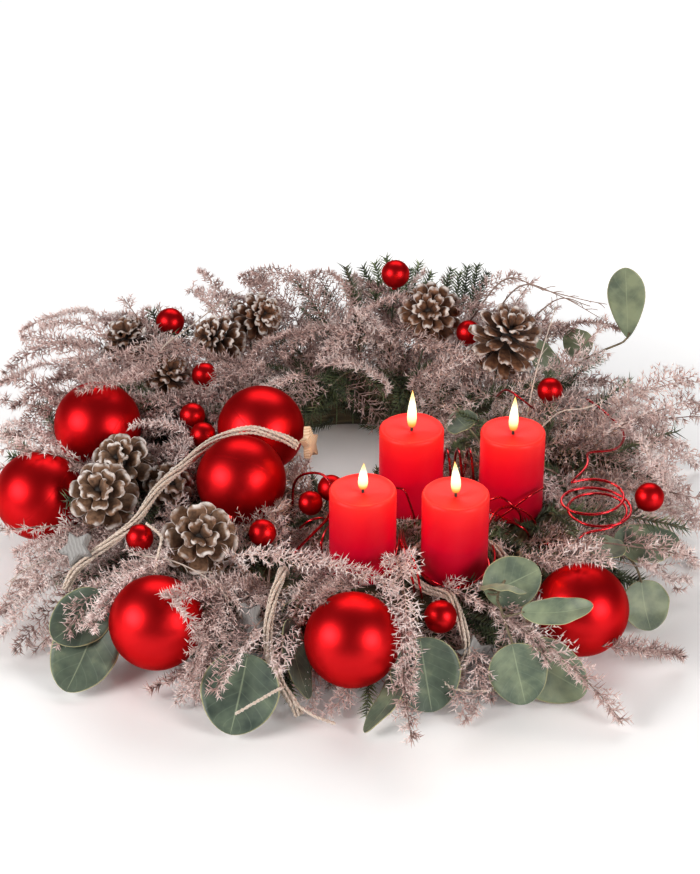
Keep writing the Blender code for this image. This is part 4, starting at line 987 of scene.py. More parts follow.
SHOWN_SPOTS += [(x, y, z, 9) for x, y, z in ((58, -145, 64), (68, -157, 65), (80, -168, 68), (89, -182, 66),
                                             (93, -196, 61), (97, -206, 50), (-58, -158, 80), (-62, -176, 82),
                                             (-64, -194, 80), (-67, -212, 68))]


def scatter(reach, rng):
    """A random offset."""
    return v(*(rng.uniform(-reach, reach) for _ in range(3)))


class Needles:
    """Needles gathered for one mesh."""

    def __init__(self):
        self.roots, self.tips, self.widths, self.tones_and_light = [], [], [], []

    def add(self, root, tip, width, tone_and_light):
        self.roots.append(root)
        self.tips.append(tip)
        self.widths.append(width)
        self.tones_and_light.append(min(1, max(0, tone_and_light)))

    def mesh(self):
        return needle_mesh(self.roots, self.tips, self.widths, self.tones_and_light)


def feather(needles, start, twig, upward, size, kind, tone_and_light, rng):
    """One side twig: a fine stalk with short needles round it, lying a little flat and leaning forward."""
    spacing, length, width, thin, around, forward = kind
    flat = twig.cross(upward).normalized()
    inward = flat.cross(twig).normalized()
    droop = v(0, 0, -size * rng.uniform(0.0, 0.14))
    count = max(3, round(size / spacing))
    spots = [start + twig * (size * k / count) + droop * (k / count) ** 2 for k in range(count + 1)]
    free = next((k for k, spot in enumerate(spots) if in_front(spot) or not room_for(spot)), count + 1)
    if free < 2:
        return
    spots = spots[:free]
    needles.add(spots[0], spots[-1] + twig, thin, 0.35 + 0.3 * tone_and_light)
    for k in range(1, len(spots)):
        share = k / count
        for turn in range(around):
            angle = 2 * math.pi * turn / around + 0.8 * k + rng.uniform(-0.3, 0.3)
            out = (flat * math.sin(angle) * 0.6 + inward * math.cos(angle)).normalized()
            lean = out * math.cos(forward) + twig * math.sin(forward)
            long = length * (1 - 0.4 * share) * rng.uniform(0.6, 1.15)
            root = spots[k - 1].lerp(spots[k], rng.random())
            # Needles further out along a twig are paler and those near its foot darker: painted light and
            # shade, besides the twig's own tone.
            needles.add(root, root + lean * long, width,
                        0.08 + 0.55 * tone_and_light + 0.3 * share + rng.uniform(-0.22, 0.22))


def stem_route(root, heading, rise, length, droop, sweep):
    """A stem that leaves its root at an angle, sags, and stops where a ball, cone or candle is in its way."""
    steps = round(length / 5.8)
    route = [root]
    for i in range(1, steps + 1):
        share = i / steps
        step_way = way_to(heading + sweep * share, rise - droop * share)
        route.append(pushed_out(route[-1] + step_way * length / steps))
        if in_front(route[-1]) or not room_for(route[-1]):
            break
    return route


def plume(needles, route, widest, kind, rng):
    """A whole frond: side twigs left and right of its stem, long near its foot and short at its tip."""
    tone_and_light = rng.random()
    roll = rng.uniform(-0.7, 0.7)
    steps = len(route) - 1
    for i in range(1, len(route)):
        share = i / steps
        along = (route[i] - route[i - 1]).normalized()
        across = along.cross(v(0, 0, 1))
        if across.length < 0.1:
            across = v(1, 0, 0)
        across = Matrix.Rotation(roll, 3, along) @ across.normalized()
        upward = across.cross(along)
        if not room_for(route[i]) or in_front(route[i]):
            continue
        needles.add(route[i - 1], route[i] + along * 2, 1 - 0.6 * share, 0.15 + 0.2 * tone_and_light)
        size = widest * min(1.0, 0.35 + 2.2 * share) * (1 - share) ** 0.55 + 3
        for side in (-1, 1):
            twig = across * side + along * rng.uniform(0.65, 1.0) + upward * rng.uniform(-0.1, 0.35)
            feather(needles, route[i - 1].lerp(route[i], rng.random()), twig.normalized(), upward,
                    size * rng.uniform(0.75, 1.1), kind, min(1, max(0, tone_and_light + rng.uniform(-0.25, 0.25))), rng)


def foliage_material(name, colours, roughness):
    """Each needle has its own tone and light along the colour ramp, and paler and darker patches run over a
    whole bunch.
    """
    material, tree, shader = new_material(name, {"Roughness": roughness, "Sheen Weight": 0.1})
    tone_and_light = step(tree, "Attribute", attribute_name="tone_and_light").outputs["Fac"]
    patches = noise(tree, place_on(tree), Scale=24.0, Detail=3.0)
    mixed = maths(tree, "MULTIPLY_ADD", patches, 0.5, tone_and_light)
    coloured(tree, shader, maths(tree, "SUBTRACT", mixed, 0.2), colours)
    return material


# The fern's colours run from a dark painted shade through its dyed pink to a near-white painted highlight.
pink = foliage_material("dyed_fern", [(0.05, (0.13, 0.07, 0.06)), (0.35, (0.5, 0.32, 0.285)),
                                      (0.65, (0.84, 0.64, 0.6)), (0.95, (0.98, 0.87, 0.84))], 0.8)
green = foliage_material("fir_needles", [(0.1, (0.02, 0.032, 0.012)), (0.45, (0.06, 0.09, 0.034)),
                                         (0.8, (0.14, 0.19, 0.075)), (1.0, (0.27, 0.33, 0.15))], 0.5)
fern_stem = mottled("fern_stem", [(0.3, (0.14, 0.08, 0.06)), (0.7, (0.34, 0.24, 0.2))], {"Roughness": 0.8},
                    Scale=300.0, Detail=3.0)

# A side twig's needles: how far apart, how long and how wide they are, how wide the twig is, how many stand
# round it and how far they lean. Then each bunch's stretch of the ring and its layers of plumes: how many,
# how steeply they rise, how long they are, how far they turn aside, and where across the ring they start.
FERN_KIND = (7.0, 10.2, 0.7, 0.6, 3, math.radians(43))
MORE_PLUMES = {
    "back_left": (92, 178, [(28, (22, 56), (110, 165), 50, (0.2, 1)),
                            (14, (5, 32), (70, 130), 170, (0, 0.8))]),
    "left": (154, 218, [(30, (8, 52), (110, 160), 40, (0.3, 1)), (14, (0, 30), (60, 110), 170, (0, 1))]),
    "front_left": (204, 268, [(20, (0, 32), (80, 130), 70, (0.2, 1)), (28, (0, 28), (50, 100), 180, (0, 1)),
                              (26, (-30, 5), (50, 90), 45, (0.85, 1))]),
    "front_right": (262, 318, [(16, (0, 30), (70, 120), 70, (0.2, 1)), (24, (0, 25), (45, 90), 180, (0, 1)),
                               (26, (-30, 5), (45, 80), 45, (0.85, 1))]),
    "right": (314, 378, [(28, (8, 52), (115, 170), 45, (0.3, 1)), (14, (5, 30), (70, 120), 170, (0, 1))]),
    "back_right": (8, 92, [(25, (20, 54), (110, 165), 50, (0.2, 1)),
                           (14, (5, 32), (70, 130), 170, (0, 0.8))]),
}
# Plumes whose way was read off: each runs from the ring through its corners, and has a greatest width.
LAID_PLUMES = {
    "back_left": [
        ([(-158, 115, 96), (-136, 97, 112), (-116, 101, 108)], 20),
        ([(-185, 207, 100), (-168, 190, 118), (-148, 182, 120)], 18),
        ([(-127, 89, 80), (-151, 40, 98), (-172, 9, 100), (-182, -11, 88)], 28),
        ([(-152, 129, 90), (-172, 78, 106), (-188, 51, 104)], 26),
        ([(-187, 133, 118), (-201, 77, 142), (-223, 51, 150), (-245, 44, 148)], 20),
        ([(-227, 127, 100), (-254, 132, 136), (-284, 149, 146), (-311, 168, 138)], 34),
        ([(-208, 166, 100), (-230, 160, 140), (-265, 174, 150), (-294, 178, 144)], 34),
        ([(-40, 262, 84), (-62, 236, 104), (-82, 205, 112), (-100, 180, 104)], 30),
        ([(10, 270, 84), (-16, 246, 106), (-44, 222, 112), (-66, 200, 100)], 30),
        ([(40, 250, 84), (14, 240, 104), (-8, 226, 106), (-30, 206, 92)], 26),
        ([(-20, 273, 90), (-32, 284, 118), (-50, 297, 132), (-75, 307, 138), (-99, 315, 134)], 26),
        ([(-50, 273, 90), (-65, 296, 112), (-89, 309, 126), (-111, 326, 124)], 26),
        ([(-5, 273, 90), (2, 273, 118), (-5, 286, 134), (-20, 307, 138)], 26),
        ([(35, 199, 70), (2, 198, 92), (-37, 169, 100), (-82, 138, 98)], 20),
        ([(-10, 264, 95), (10, 266, 116), (27, 235, 112), (47, 230, 96)], 20),
        ([(-97, 190, 95), (-116, 144, 112), (-134, 115, 115), (-155, 101, 112), (-178, 108, 104)], 26),
        ([(-112, 190, 95), (-130, 165, 114), (-159, 176, 122), (-188, 160, 120), (-212, 153, 114)], 26),
        ([(-155, 190, 95), (-168, 183, 112), (-203, 164, 122), (-229, 130, 126), (-252, 107, 124)], 26),
        ([(-130, 71, 80), (-139, 43, 100), (-164, 41, 112), (-191, 36, 116), (-216, 24, 110)], 28),
        ([(-127, 108, 80), (-135, 81, 100), (-158, 80, 112), (-185, 82, 116), (-207, 97, 110)], 28),
        ([(-139, 252, 90), (-127, 252, 112), (-135, 272, 124), (-154, 295, 124)], 24),
    ],
    "left": [
        ([(-140, 9, 84), (-158, 21, 92), (-181, 28, 96), (-197, 25, 94)], 20),
        ([(-135, 53, 90), (-151, 58, 98), (-170, 58, 102), (-188, 51, 100)], 20),
        ([(-155, -43, 84), (-161, -21, 94), (-157, 7, 100), (-146, 33, 102)], 18),
        ([(-257, 108, 80), (-283, 94, 118), (-309, 110, 124), (-328, 121, 114)], 34),
        ([(-268, 69, 70), (-291, 68, 92), (-314, 73, 96), (-328, 75, 86)], 34),
        ([(-253, -97, 60), (-271, -136, 50), (-288, -158, 34), (-299, -162, 22)], 28),
        ([(-213, -160, 66), (-233, -184, 50), (-252, -191, 26)], 26),
        ([(-227, 285, 84), (-244, 257, 112), (-266, 244, 126), (-294, 208, 136), (-318, 194, 130)], 28),
        ([(-238, 238, 84), (-271, 190, 118), (-304, 156, 126), (-326, 137, 116)], 32),
        ([(-244, 204, 84), (-271, 160, 112), (-298, 145, 118), (-323, 139, 106)], 32),
        ([(-253, 190, 76), (-273, 151, 102), (-294, 116, 106), (-318, 107, 94)], 32),
        ([(-263, 180, 66), (-281, 129, 92), (-299, 94, 90), (-312, 78, 76)], 28),
        ([(-221, -73, 56), (-254, -94, 58), (-285, -111, 40), (-301, -131, 20)], 28),
        ([(-205, -107, 52), (-238, -139, 50), (-268, -155, 30), (-287, -168, 10)], 28),
        ([(-223, -51, 58), (-263, -63, 58), (-298, -69, 46)], 28),
    ],
    "front_left": [
        ([(-96, -134, 84), (-55, -150, 92), (-13, -160, 92), (16, -172, 88), (38, -182, 80)], 26),
        ([(-147, -229, 104), (-134, -240, 98), (-122, -254, 80)], 16),
        ([(-104, -184, 76), (-113, -222, 62), (-122, -240, 36), (-128, -246, 14)], 26),
        ([(-83, -169, 70), (-70, -199, 60), (-73, -220, 36), (-84, -229, 12)], 24),
        ([(-39, -157, 62), (-29, -188, 40), (-37, -206, 14)], 22),
        ([(2, -223, 30), (-5, -243, 16), (-20, -255, 6)], 24),
        ([(-27, -205, 36), (-30, -235, 22), (-36, -255, 8)], 22),
        ([(-45, -197, 40), (-65, -220, 28), (-84, -232, 14)], 22),
        ([(-101, -205, 46), (-120, -229, 30), (-145, -238, 8)], 26),
        ([(-121, -202, 44), (-134, -223, 30), (-168, -226, 10)], 22),
        ([(-17, -135, 70), (-29, -175, 78), (-40, -196, 76), (-45, -208, 66)], 24),
        ([(5, -156, 78), (-10, -196, 90), (-21, -223, 96), (-16, -240, 92)], 20),
        ([(-158, -106, 74), (-170, -150, 84), (-189, -172, 84), (-207, -181, 70), (-221, -190, 54)], 22),
    ],
    "front_right": [
        ([(41, -137, 86), (45, -200, 96), (46, -236, 88), (46, -256, 66), (50, -262, 34)], 26),
        ([(88, -175, 70), (100, -220, 56), (108, -240, 26), (103, -257, 6)], 26),
        ([(127, -166, 70), (132, -208, 58), (125, -226, 40)], 22),
        ([(202, -197, 40), (231, -205, 40), (261, -200, 32), (283, -191, 20)], 30),
        ([(23, -226, 28), (42, -238, 14), (28, -252, 6)], 22),
        ([(86, -205, 36), (90, -240, 20), (96, -263, 4)], 24),
        ([(101, -202, 44), (112, -223, 30), (117, -241, 10)], 22),
        ([(201, -182, 30), (229, -191, 30), (260, -188, 22), (285, -180, 12)], 32),
    ],
    "right": [
        ([(267, 49, 86), (288, 56, 118), (312, 72, 122), (326, 74, 112)], 34),
        ([(272, 16, 76), (298, 18, 98), (319, 14, 94)], 34),
        ([(232, 73, 96), (267, 72, 130), (301, 85, 140), (324, 84, 132)], 34),
        ([(229, -74, 62), (262, -95, 70), (297, -97, 64)], 30),
        ([(253, -104, 60), (273, -105, 44), (300, -90, 30)], 26),
        ([(184, -87, 70), (207, -119, 82), (236, -122, 80), (259, -122, 66)], 26),
        ([(304, -38, 60), (288, -29, 84), (273, -10, 104), (262, 12, 116)], 30),
    ],
    "back_right": [
        ([(5, 279, 96), (24, 259, 124), (43, 245, 140), (63, 245, 138)], 20),
        ([(87, 181, 92), (108, 176, 110), (129, 185, 112)], 20),
        ([(160, 99, 80), (181, 81, 104), (206, 82, 108), (229, 84, 100)], 24),
        ([(80, 269, 92), (95, 259, 124), (123, 231, 136), (157, 206, 140), (203, 201, 132)], 20),
        ([(42, 275, 96), (53, 239, 108), (79, 193, 114), (107, 189, 112), (137, 183, 102)], 22),
        ([(62, 205, 66), (76, 189, 88), (102, 182, 98), (135, 178, 98), (169, 176, 88)], 22),
        ([(60, 270, 86), (50, 278, 112), (38, 290, 124), (16, 300, 128)], 24),
        ([(49, 327, 76), (59, 331, 106), (76, 348, 118)], 24),
        ([(122, 303, 80), (131, 309, 110), (150, 321, 122), (172, 326, 124)], 24),
        ([(189, 249, 86), (205, 223, 116), (234, 225, 124), (266, 219, 118)], 26),
    ],
}


def top_of_ring(angle, share):
    """A spot on the ring's top, by its angle and how far it lies between the hole and the outer edge."""
    way = way_to(angle)
    reach = HOLE_RADIUS + ROUNDING + share * (ring_reach(angle) - HOLE_RADIUS - 2 * ROUNDING)
    return HOLE_CENTRE + way * reach + v(0, 0, RING_HEIGHT)


rng = random.Random(21)
for spot in FERNS:
    stems, points = shoot_points(f"fern_{spot}")
    for vertex, way in zip(stems.vertices, [vertex.normal.copy() for vertex in stems.vertices]):
        vertex.co -= way * 0.4
    needles = Needles()
    twigs = 4 if spot.startswith("front") else 2
    for foot, tip, stretch in points:
        way = tip - foot
        tone_and_light = rng.random()
        for part in range(twigs):
            start = foot + stretch * ((part + rng.random()) / twigs - 0.5)
            twig = way.normalized() + stretch.normalized() * rng.uniform(-0.1, 0.25)
            twig += scatter(0.18, rng)
            size = way.length * rng.uniform(0.7, 1.0)
            feather(needles, start, twig.normalized(), stretch, size, FERN_KIND, tone_and_light, rng)
    first, last, layers = MORE_PLUMES[spot]
    for count, rises, lengths, spread, shares in layers:
        for i in range(count):
            angle = math.radians(first + (last - first) * (i + rng.random()) / count)
            root = top_of_ring(angle, rng.uniform(*shares))
            if not room_for(root):
                continue
            size = rng.uniform(*lengths)
            routes = [stem_route(root, angle + math.radians(rng.uniform(-spread, spread)),
                                 math.radians(rng.uniform(*rises)), size, math.radians(rng.uniform(45, 95)),
                                 rng.uniform(-0.6, 0.6)) for _ in range(4)]
            route = max(routes, key=len)
            if len(route) > 5:
                plume(needles, route, 27, FERN_KIND, rng)
    for corners, widest in LAID_PLUMES[spot]:
        way = Vector(corners[0]) - RING_CENTRE
        way.z = 0
        root = RING_CENTRE + way.normalized() * min(way.length, RING_RADIUS - 40)
        root.z = RING_HEIGHT
        plume(needles, smooth_route([root, *corners], 5), widest, FERN_KIND, rng)
    placed(f"fern_{spot}_plumes", needles.mesh(), pink, [f"fern_{spot}"], smooth=False)
    placed(f"fern_{spot}_stems", stems, fern_stem)

# Fern stems whose needles have dropped, and a few thin brown wiry ones, standing out of the bunches. They
# carry short bare side shoots, one every sixteen millimetres or so.
BARE_TWIGS = {
    "pale": [
        [(-190, -122, 78), (-148, -153, 90), (-113, -179, 84), (-88, -199, 60)],
        [(-236, -90, 60), (-277, -107, 56), (-293, -114, 46), (-299, -124, 34)],
        [(-198, 168, 94), (-178, 170, 126), (-155, 189, 136), (-129, 214, 147), (-107, 232, 153)],
        [(163, 91, 74), (174, 111, 130), (194, 157, 176)],
        [(172, 76, 84), (194, 70, 110), (217, 60, 120), (233, 61, 128)],
        [(222, -48, 50), (267, -42, 72), (301, -40, 76)],
    ],
    "brown": [
        [(118, 262, 104), (150, 229, 168), (186, 190, 176), (223, 181, 170), (246, 192, 160)],
        [(136, 270, 96), (166, 235, 158), (201, 198, 166), (239, 183, 150)],
        [(160, 240, 96), (198, 201, 160), (229, 180, 164)],
    ],
}
pale_twig = mottled("pale_twig", [(0.3, (0.36, 0.28, 0.23)), (0.7, (0.66, 0.57, 0.5))], {"Roughness": 0.75},
                    Scale=260.0, Detail=4.0)
for tone, corners_of in BARE_TWIGS.items():
    routes = [smooth_route(corners, 4) for corners in corners_of]
    radii = [[1.0 - 0.6 * i / len(route) for i in range(len(route))] for route in routes]
    for route in list(routes):
        for k in range(3, len(route) - 2, 4):
            along = (route[k + 1] - route[k]).normalized()
            way = (along + scatter(0.8, rng)).normalized()
            size = rng.uniform(6, 15)
            routes.append([route[k], route[k] + way * size * 0.5, route[k] + way * size + v(0, 0, -1.5)])
            radii.append([0.5, 0.4, 0.3])
    colour = pale_twig if tone == "pale" else fern_stem
    placed(f"bare_twigs_{tone}", round_wires(routes, radii, 6), colour)

# Green fir in three bunches, each on its stretch of the ring: how many twigs, how steeply they rise and how
# long they are. The twigs that show over the fern are listed one by one, each from its root to its tip.
FIR_TWIGS = {
    "back": (58, 118, 13, 5, 22, 50, 80),
    "left": (150, 214, 12, 8, 45, 80, 120),
    "right": (-30, 30, 14, 8, 45, 80, 120),
}

LAID_FIR_TWIGS = [
    ((39, 332, 80), (25, 359, 124)), ((59, 330, 78), (72, 359, 124)), ((123, 323, 78), (131, 354, 124)),
    ((107, 323, 78), (112, 344, 120)), ((43, 323, 78), (49, 371, 118)), ((47, 332, 80), (37, 365, 128)),
    ((36, 329, 75), (12, 354, 122)), ((22, 319, 72), (-5, 332, 112)), ((51, 330, 78), (63, 349, 122)),
    ((64, 329, 75), (84, 344, 120)), ((92, 330, 78), (104, 349, 122)), ((115, 332, 80), (121, 350, 124)),
    ((125, 330, 78), (141, 344, 120)), ((-5, 312, 70), (-28, 323, 110)), ((-184, 249, 80), (-196, 268, 116)),
    ((-184, 240, 84), (-204, 262, 108)), ((-176, 232, 84), (-178, 244, 112)),
    ((-174, 245, 80), (-159, 254, 100)), ((-274, 114, 55), (-299, 132, 84)),
    ((-300, 102, 42), (-330, 124, 58)), ((-297, 94, 40), (-324, 96, 48)),
    ((-178, 120, 76), (-179, 94, 106)), ((-176, 118, 76), (-196, 98, 104)),
    ((-178, 118, 76), (-162, 98, 104)), ((-278, 120, 62), (-288, 112, 94)),
    ((26, 320, 100), (30, 305, 128)), ((43, 320, 100), (54, 305, 128)),
]


def fir_twig(needles, root, heading, rise, length, droop, rng):
    """A straight green twig with needles all round it, a little shorter towards the tip."""
    count = round(length / 3.2)
    spot = root
    tone_and_light = rng.random()
    for i in range(count):
        share = i / count
        way = way_to(heading, rise - droop * share)
        after = pushed_out(spot + way * length / count)
        if in_front(after) or not room_for(after):
            break
        needles.add(spot, after + way * 2, 1.1 * (1 - 0.5 * share), 0.1)
        side = way.orthogonal().normalized()
        for turn in range(5):
            angle = 2 * math.pi * turn / 5 + i * 0.9 + rng.uniform(-0.3, 0.3)
            out = Matrix.Rotation(angle, 3, way) @ side
            tip = spot + (out * 0.8 + way * 0.6) * rng.uniform(12, 19) * (1 - 0.35 * share)
            if room_for(tip):
                needles.add(spot, tip, 0.95, 0.5 * tone_and_light + 0.5 * rng.random())
        spot = after


def laid_fir_twigs(needles, ends, lift, droop, rng):
    """Twigs from their roots to their tips. A twig that will droop starts out a little steeper."""
    for root, tip in ends:
        way = Vector(tip) - Vector(root)
        rise = math.asin(way.z / way.length) + lift
        fir_twig(needles, Vector(root), math.atan2(way.y, way.x), rise, way.length, droop, rng)


for spot in FIRS:
    stems, points = shoot_points(f"fir_{spot}")
    needles = Needles()
    first, last, count, low, high, short, long = FIR_TWIGS[spot]
    for i in range(count):
        angle = math.radians(first + (last - first) * (i + rng.random()) / count)
        heading = angle + math.radians(rng.choice([-60, -20, 20, 60, 160, 200]) + rng.uniform(-15, 15))
        root = top_of_ring(angle, rng.uniform(0.0, 1.0))
        if room_for(root):
            fir_twig(needles, root, heading, math.radians(rng.uniform(low, high)), rng.uniform(short, long),
                     math.radians(rng.uniform(20, 60)), rng)
    if spot == "back":
        laid_fir_twigs(needles, LAID_FIR_TWIGS, 0.1, 0.2, rng)
    for foot, tip, stretch in points:
        way = tip - foot
        tone_and_light = rng.random()
        for part in range(5):
            start = foot + stretch * ((part + rng.random()) / 5 - 0.5)
            needle = way + scatter(4, rng)
            needles.add(start, start + needle * rng.uniform(0.75, 1.0), 0.75, tone_and_light * 0.6 + rng.random() * 0.4)
    placed(f"fir_{spot}_needles", needles.mesh(), green, [f"fir_{spot}"], smooth=False)
    placed(f"fir_{spot}_stems", stems, bark)


# Short fir twigs pinned all over the straw, so that little of it shows between the larger pieces. They lie
# close to the ring, and fill the dark gaps under the fern.
def surface_spot(angle, around):
    """A place on the ring's skin and its outward direction. Around runs from the hole's wall over the top."""
    way = way_to(angle)
    inner, outer = HOLE_RADIUS, ring_reach(angle)
    top = outer - inner - 2 * ROUNDING
    wall = RING_HEIGHT - ROUNDING
    quarter = ROUNDING * math.pi / 2
    run = around * (wall + quarter * 2 + top + wall)
    if run < wall:
        return HOLE_CENTRE + way * inner + v(0, 0, run), -way
    run -= wall
    if run < quarter:
        bend = run / ROUNDING
        out = -way * math.cos(bend) + v(0, 0, math.sin(bend))
        return HOLE_CENTRE + way * (inner + ROUNDING) + v(0, 0, wall) + out * ROUNDING, out
    run -= quarter
    if run < top:
        return HOLE_CENTRE + way * (inner + ROUNDING + run) + v(0, 0, RING_HEIGHT), v(0, 0, 1)
    run -= top
    if run < quarter:
        bend = run / ROUNDING
        out = way * math.sin(bend) + v(0, 0, math.cos(bend))
        return HOLE_CENTRE + way * (outer - ROUNDING) + v(0, 0, wall) + out * ROUNDING, out
    run -= quarter
    return HOLE_CENTRE + way * outer + v(0, 0, max(4, wall - run)), way


COVER_TWIGS = 250
EDGE_TWIGS = 60
rng = random.Random(31)
needles = Needles()
for _ in range(COVER_TWIGS):
    angle = rng.uniform(0, 2 * math.pi)
    around = rng.random()
    if rng.random() < 0.5:
        angle = -math.pi / 2 + rng.uniform(-1.3, 1.3)
        around = rng.uniform(0.45, 1)
    root, out = surface_spot(angle, around)
    if not room_for(root + out):
        continue
    heading = v(rng.uniform(-1, 1), rng.uniform(-1, 1), rng.uniform(-0.3, 0.6))
    heading -= out * heading.dot(out)
    heading = (heading.normalized() * math.cos(0.4) + out * math.sin(0.4)).normalized()
    side = heading.cross(out).normalized()
    size = rng.uniform(26, 46)
    tone_and_light = rng.random()
    count = round(size / 3)
    for k in range(count):
        share = k / count
        spot = root + heading * size * share - out * size * 0.3 * share**2
        if not room_for(spot):
            break
        for turn in range(4):
            bend = 2 * math.pi * turn / 4 + rng.uniform(-0.6, 0.6)
            aside = side * math.cos(bend) + out * abs(math.sin(bend))
            lean = (aside * math.cos(0.7) + heading * math.sin(0.7)).normalized()
            tip = spot + lean * rng.uniform(8, 14) * (1 - 0.4 * share)
            if room_for(tip):
                needles.add(spot, tip, 0.85, 0.45 * tone_and_light + 0.4 * rng.random())
for _ in range(EDGE_TWIGS):
    angle = math.radians(rng.uniform(188, 352))
    root, out = surface_spot(angle, rng.uniform(0.8, 0.93))
    heading = angle + math.radians(rng.uniform(-55, 55))
    rise = math.radians(rng.uniform(-8, 12))
    size = rng.uniform(40, 78)
    fir_twig(needles, root + out * 2, heading, rise, size, math.radians(rng.uniform(0, 25)), rng)
LOW_FIR_TWIGS = [
    ((72, -50, 56), (98, -80, 64)), ((102, -46, 56), (82, -82, 62)), ((112, -60, 56), (150, -90, 66)),
    ((125, -75, 56), (165, -100, 66)), ((60, -60, 56), (58, -100, 64)), ((52, -50, 56), (30, -72, 64)),
    ((98, -30, 56), (112, -62, 66)), ((160, -60, 56), (188, -84, 66)), ((138, -50, 56), (120, -82, 64)),
    ((25, -50, 56), (-4, -68, 64)), ((92, -68, 56), (132, -72, 66)), ((-12, -4, 56), (15, -32, 64)),
    ((20, 4, 54), (6, -36, 64)), ((4, -40, 56), (24, -70, 64)), ((-18, -30, 56), (10, -58, 64)),
    ((30, -40, 56), (0, -20, 66)), ((-8, 10, 52), (-16, -26, 62)), ((14, -66, 56), (-16, -80, 64)),
]
laid_fir_twigs(needles, LOW_FIR_TWIGS, 0, 0.1, rng)
placed("fir_cover", needles.mesh(), green, smooth=False)


# Jute twine, laid over the ring in bundles of five strands. Each strand is two twisted plies with loose
# hairs, and a few cut ends of it stand off on their own.
STRANDS = 5
BUNDLE_RADIUS = 3.0
BUNDLE_TURN = 190
PLY_OFFSET = 0.75
PLY_TURN = 8
PLY_RADIUS = 0.95
TWINE_SPACING = 2.2
TWINES = {
    "left": (
        [(-47, 5, 112), (-62, 6, 120), (-89, 11, 125), (-116, 2, 122), (-136, -14, 116), (-152, -34, 110),
         (-168, -62, 108), (-186, -98, 96), (-206, -114, 86), (-222, -124, 78), (-236, -136, 70),
         (-243, -148, 58)],
        [],
    ),
    "front_left": (
        [on_ring(-56, -124) + v(0, 0, 3.2),
         (-57, -148, 78), (-60, -172, 82), (-64, -194, 80), (-68, -214, 66),
         (-66, -232, 46), (-58, -246, 32), (-48, -256, 20), (-42, -262, 10)],
        [[(-55, -249, 29), (-62, -276, 44), (-92, -303, 42)],
         [(-48, -256, 20), (-30, -270, 16), (-12, -276, 12)]],
    ),
    "front_right": (
        [(92, -222, 26), (98, -212, 42), (92, -196, 62), (84, -172, 68), (66, -156, 64), (52, -134, 63),
         (52, -106, 63), (66, -83, 63), (92, -75, 63), (118, -83, 65), (133, -106, 66), (138, -130, 66),
         (144, -150, 62), (150, -184, 50), (152, -194, 42)],
        [],
    ),
}
SHORT_ENDS = {
    "left": [[(-176, -104, 98), (-162, -126, 99), (-163, -142, 92), (-166, -157, 80)]],
    "front_right": [[(72, -228, 34), (83, -239, 22), (104, -239, 18), (125, -235, 16)]],
}
jute = mottled("jute", [(0.3, (0.42, 0.31, 0.24)), (0.5, (0.7, 0.57, 0.47)), (0.7, (0.86, 0.77, 0.69))],
               {"Roughness": 0.9, "Sheen Weight": 0.3}, on_object=True, bumps=0.6,
               Scale=420.0, Detail=6.0, Roughness=0.7)


def side_frames(route):
    """Two steady directions across a route at each of its points."""
    frames = []
    across = None
    for i in range(len(route)):
        along = (route[min(i + 1, len(route) - 1)] - route[max(i - 1, 0)]).normalized()
        across = along.orthogonal() if across is None else across - along * across.dot(along)
        across.normalize()
        frames.append((across.copy(), along.cross(across)))
    return frames


def strand_routes(route, count, offset, turn_length):
    """Strands that wind slowly round a common route."""
    frames = side_frames(route)
    strands = [[] for _ in range(count)]
    run = 0.0
    for i, (point, (a, b)) in enumerate(zip(route, frames)):
        if i:
            run += (point - route[i - 1]).length
        for k in range(count):
            angle = 2 * math.pi * (k / count + run / turn_length)
            strands[k].append(point + (a * math.cos(angle) + b * math.sin(angle)) * offset)
    return strands


rng = random.Random(41)
for spot, (main, ends) in TWINES.items():
    plies, hairs = [], Needles()
    strands = strand_routes(smooth_route(main, TWINE_SPACING), STRANDS, BUNDLE_RADIUS, BUNDLE_TURN)
    strands += [smooth_route(end, TWINE_SPACING) for end in ends + SHORT_ENDS.get(spot, [])]
    for strand in strands:
        plies += strand_routes(strand, 2, PLY_OFFSET, PLY_TURN)
        for point in strand[::3]:
            way = v(rng.uniform(-1, 1), rng.uniform(-1, 1), rng.uniform(-0.6, 1)).normalized()
            hairs.add(point + way * 1.2, point + way * rng.uniform(2.4, 4.4), 0.12, 0.5)
    placed(f"twine_{spot}_strands", round_wires(plies, PLY_RADIUS, 4), jute, [f"twine_{spot}"])
    placed(f"twine_{spot}_fuzz", hairs.mesh(), jute, smooth=False)


# Lengths of enamelled red wire, curled by hand and pushed into the ring. Short ones stand in loose arcs
# round the candles, with their ends down in the greens.
def rounded_wire(node):
    """A wire with the way of its own solid, its square section rounded off."""
    wire = new_object("wire", finished(node_shape(node, quads=True), node))
    wire.modifiers.new("rounding", "SUBSURF").levels = 2
    fuller = wire.modifiers.new("fuller", "DISPLACE")
    fuller.strength = 0.55
    fuller.mid_level = 0
    return settled(wire)


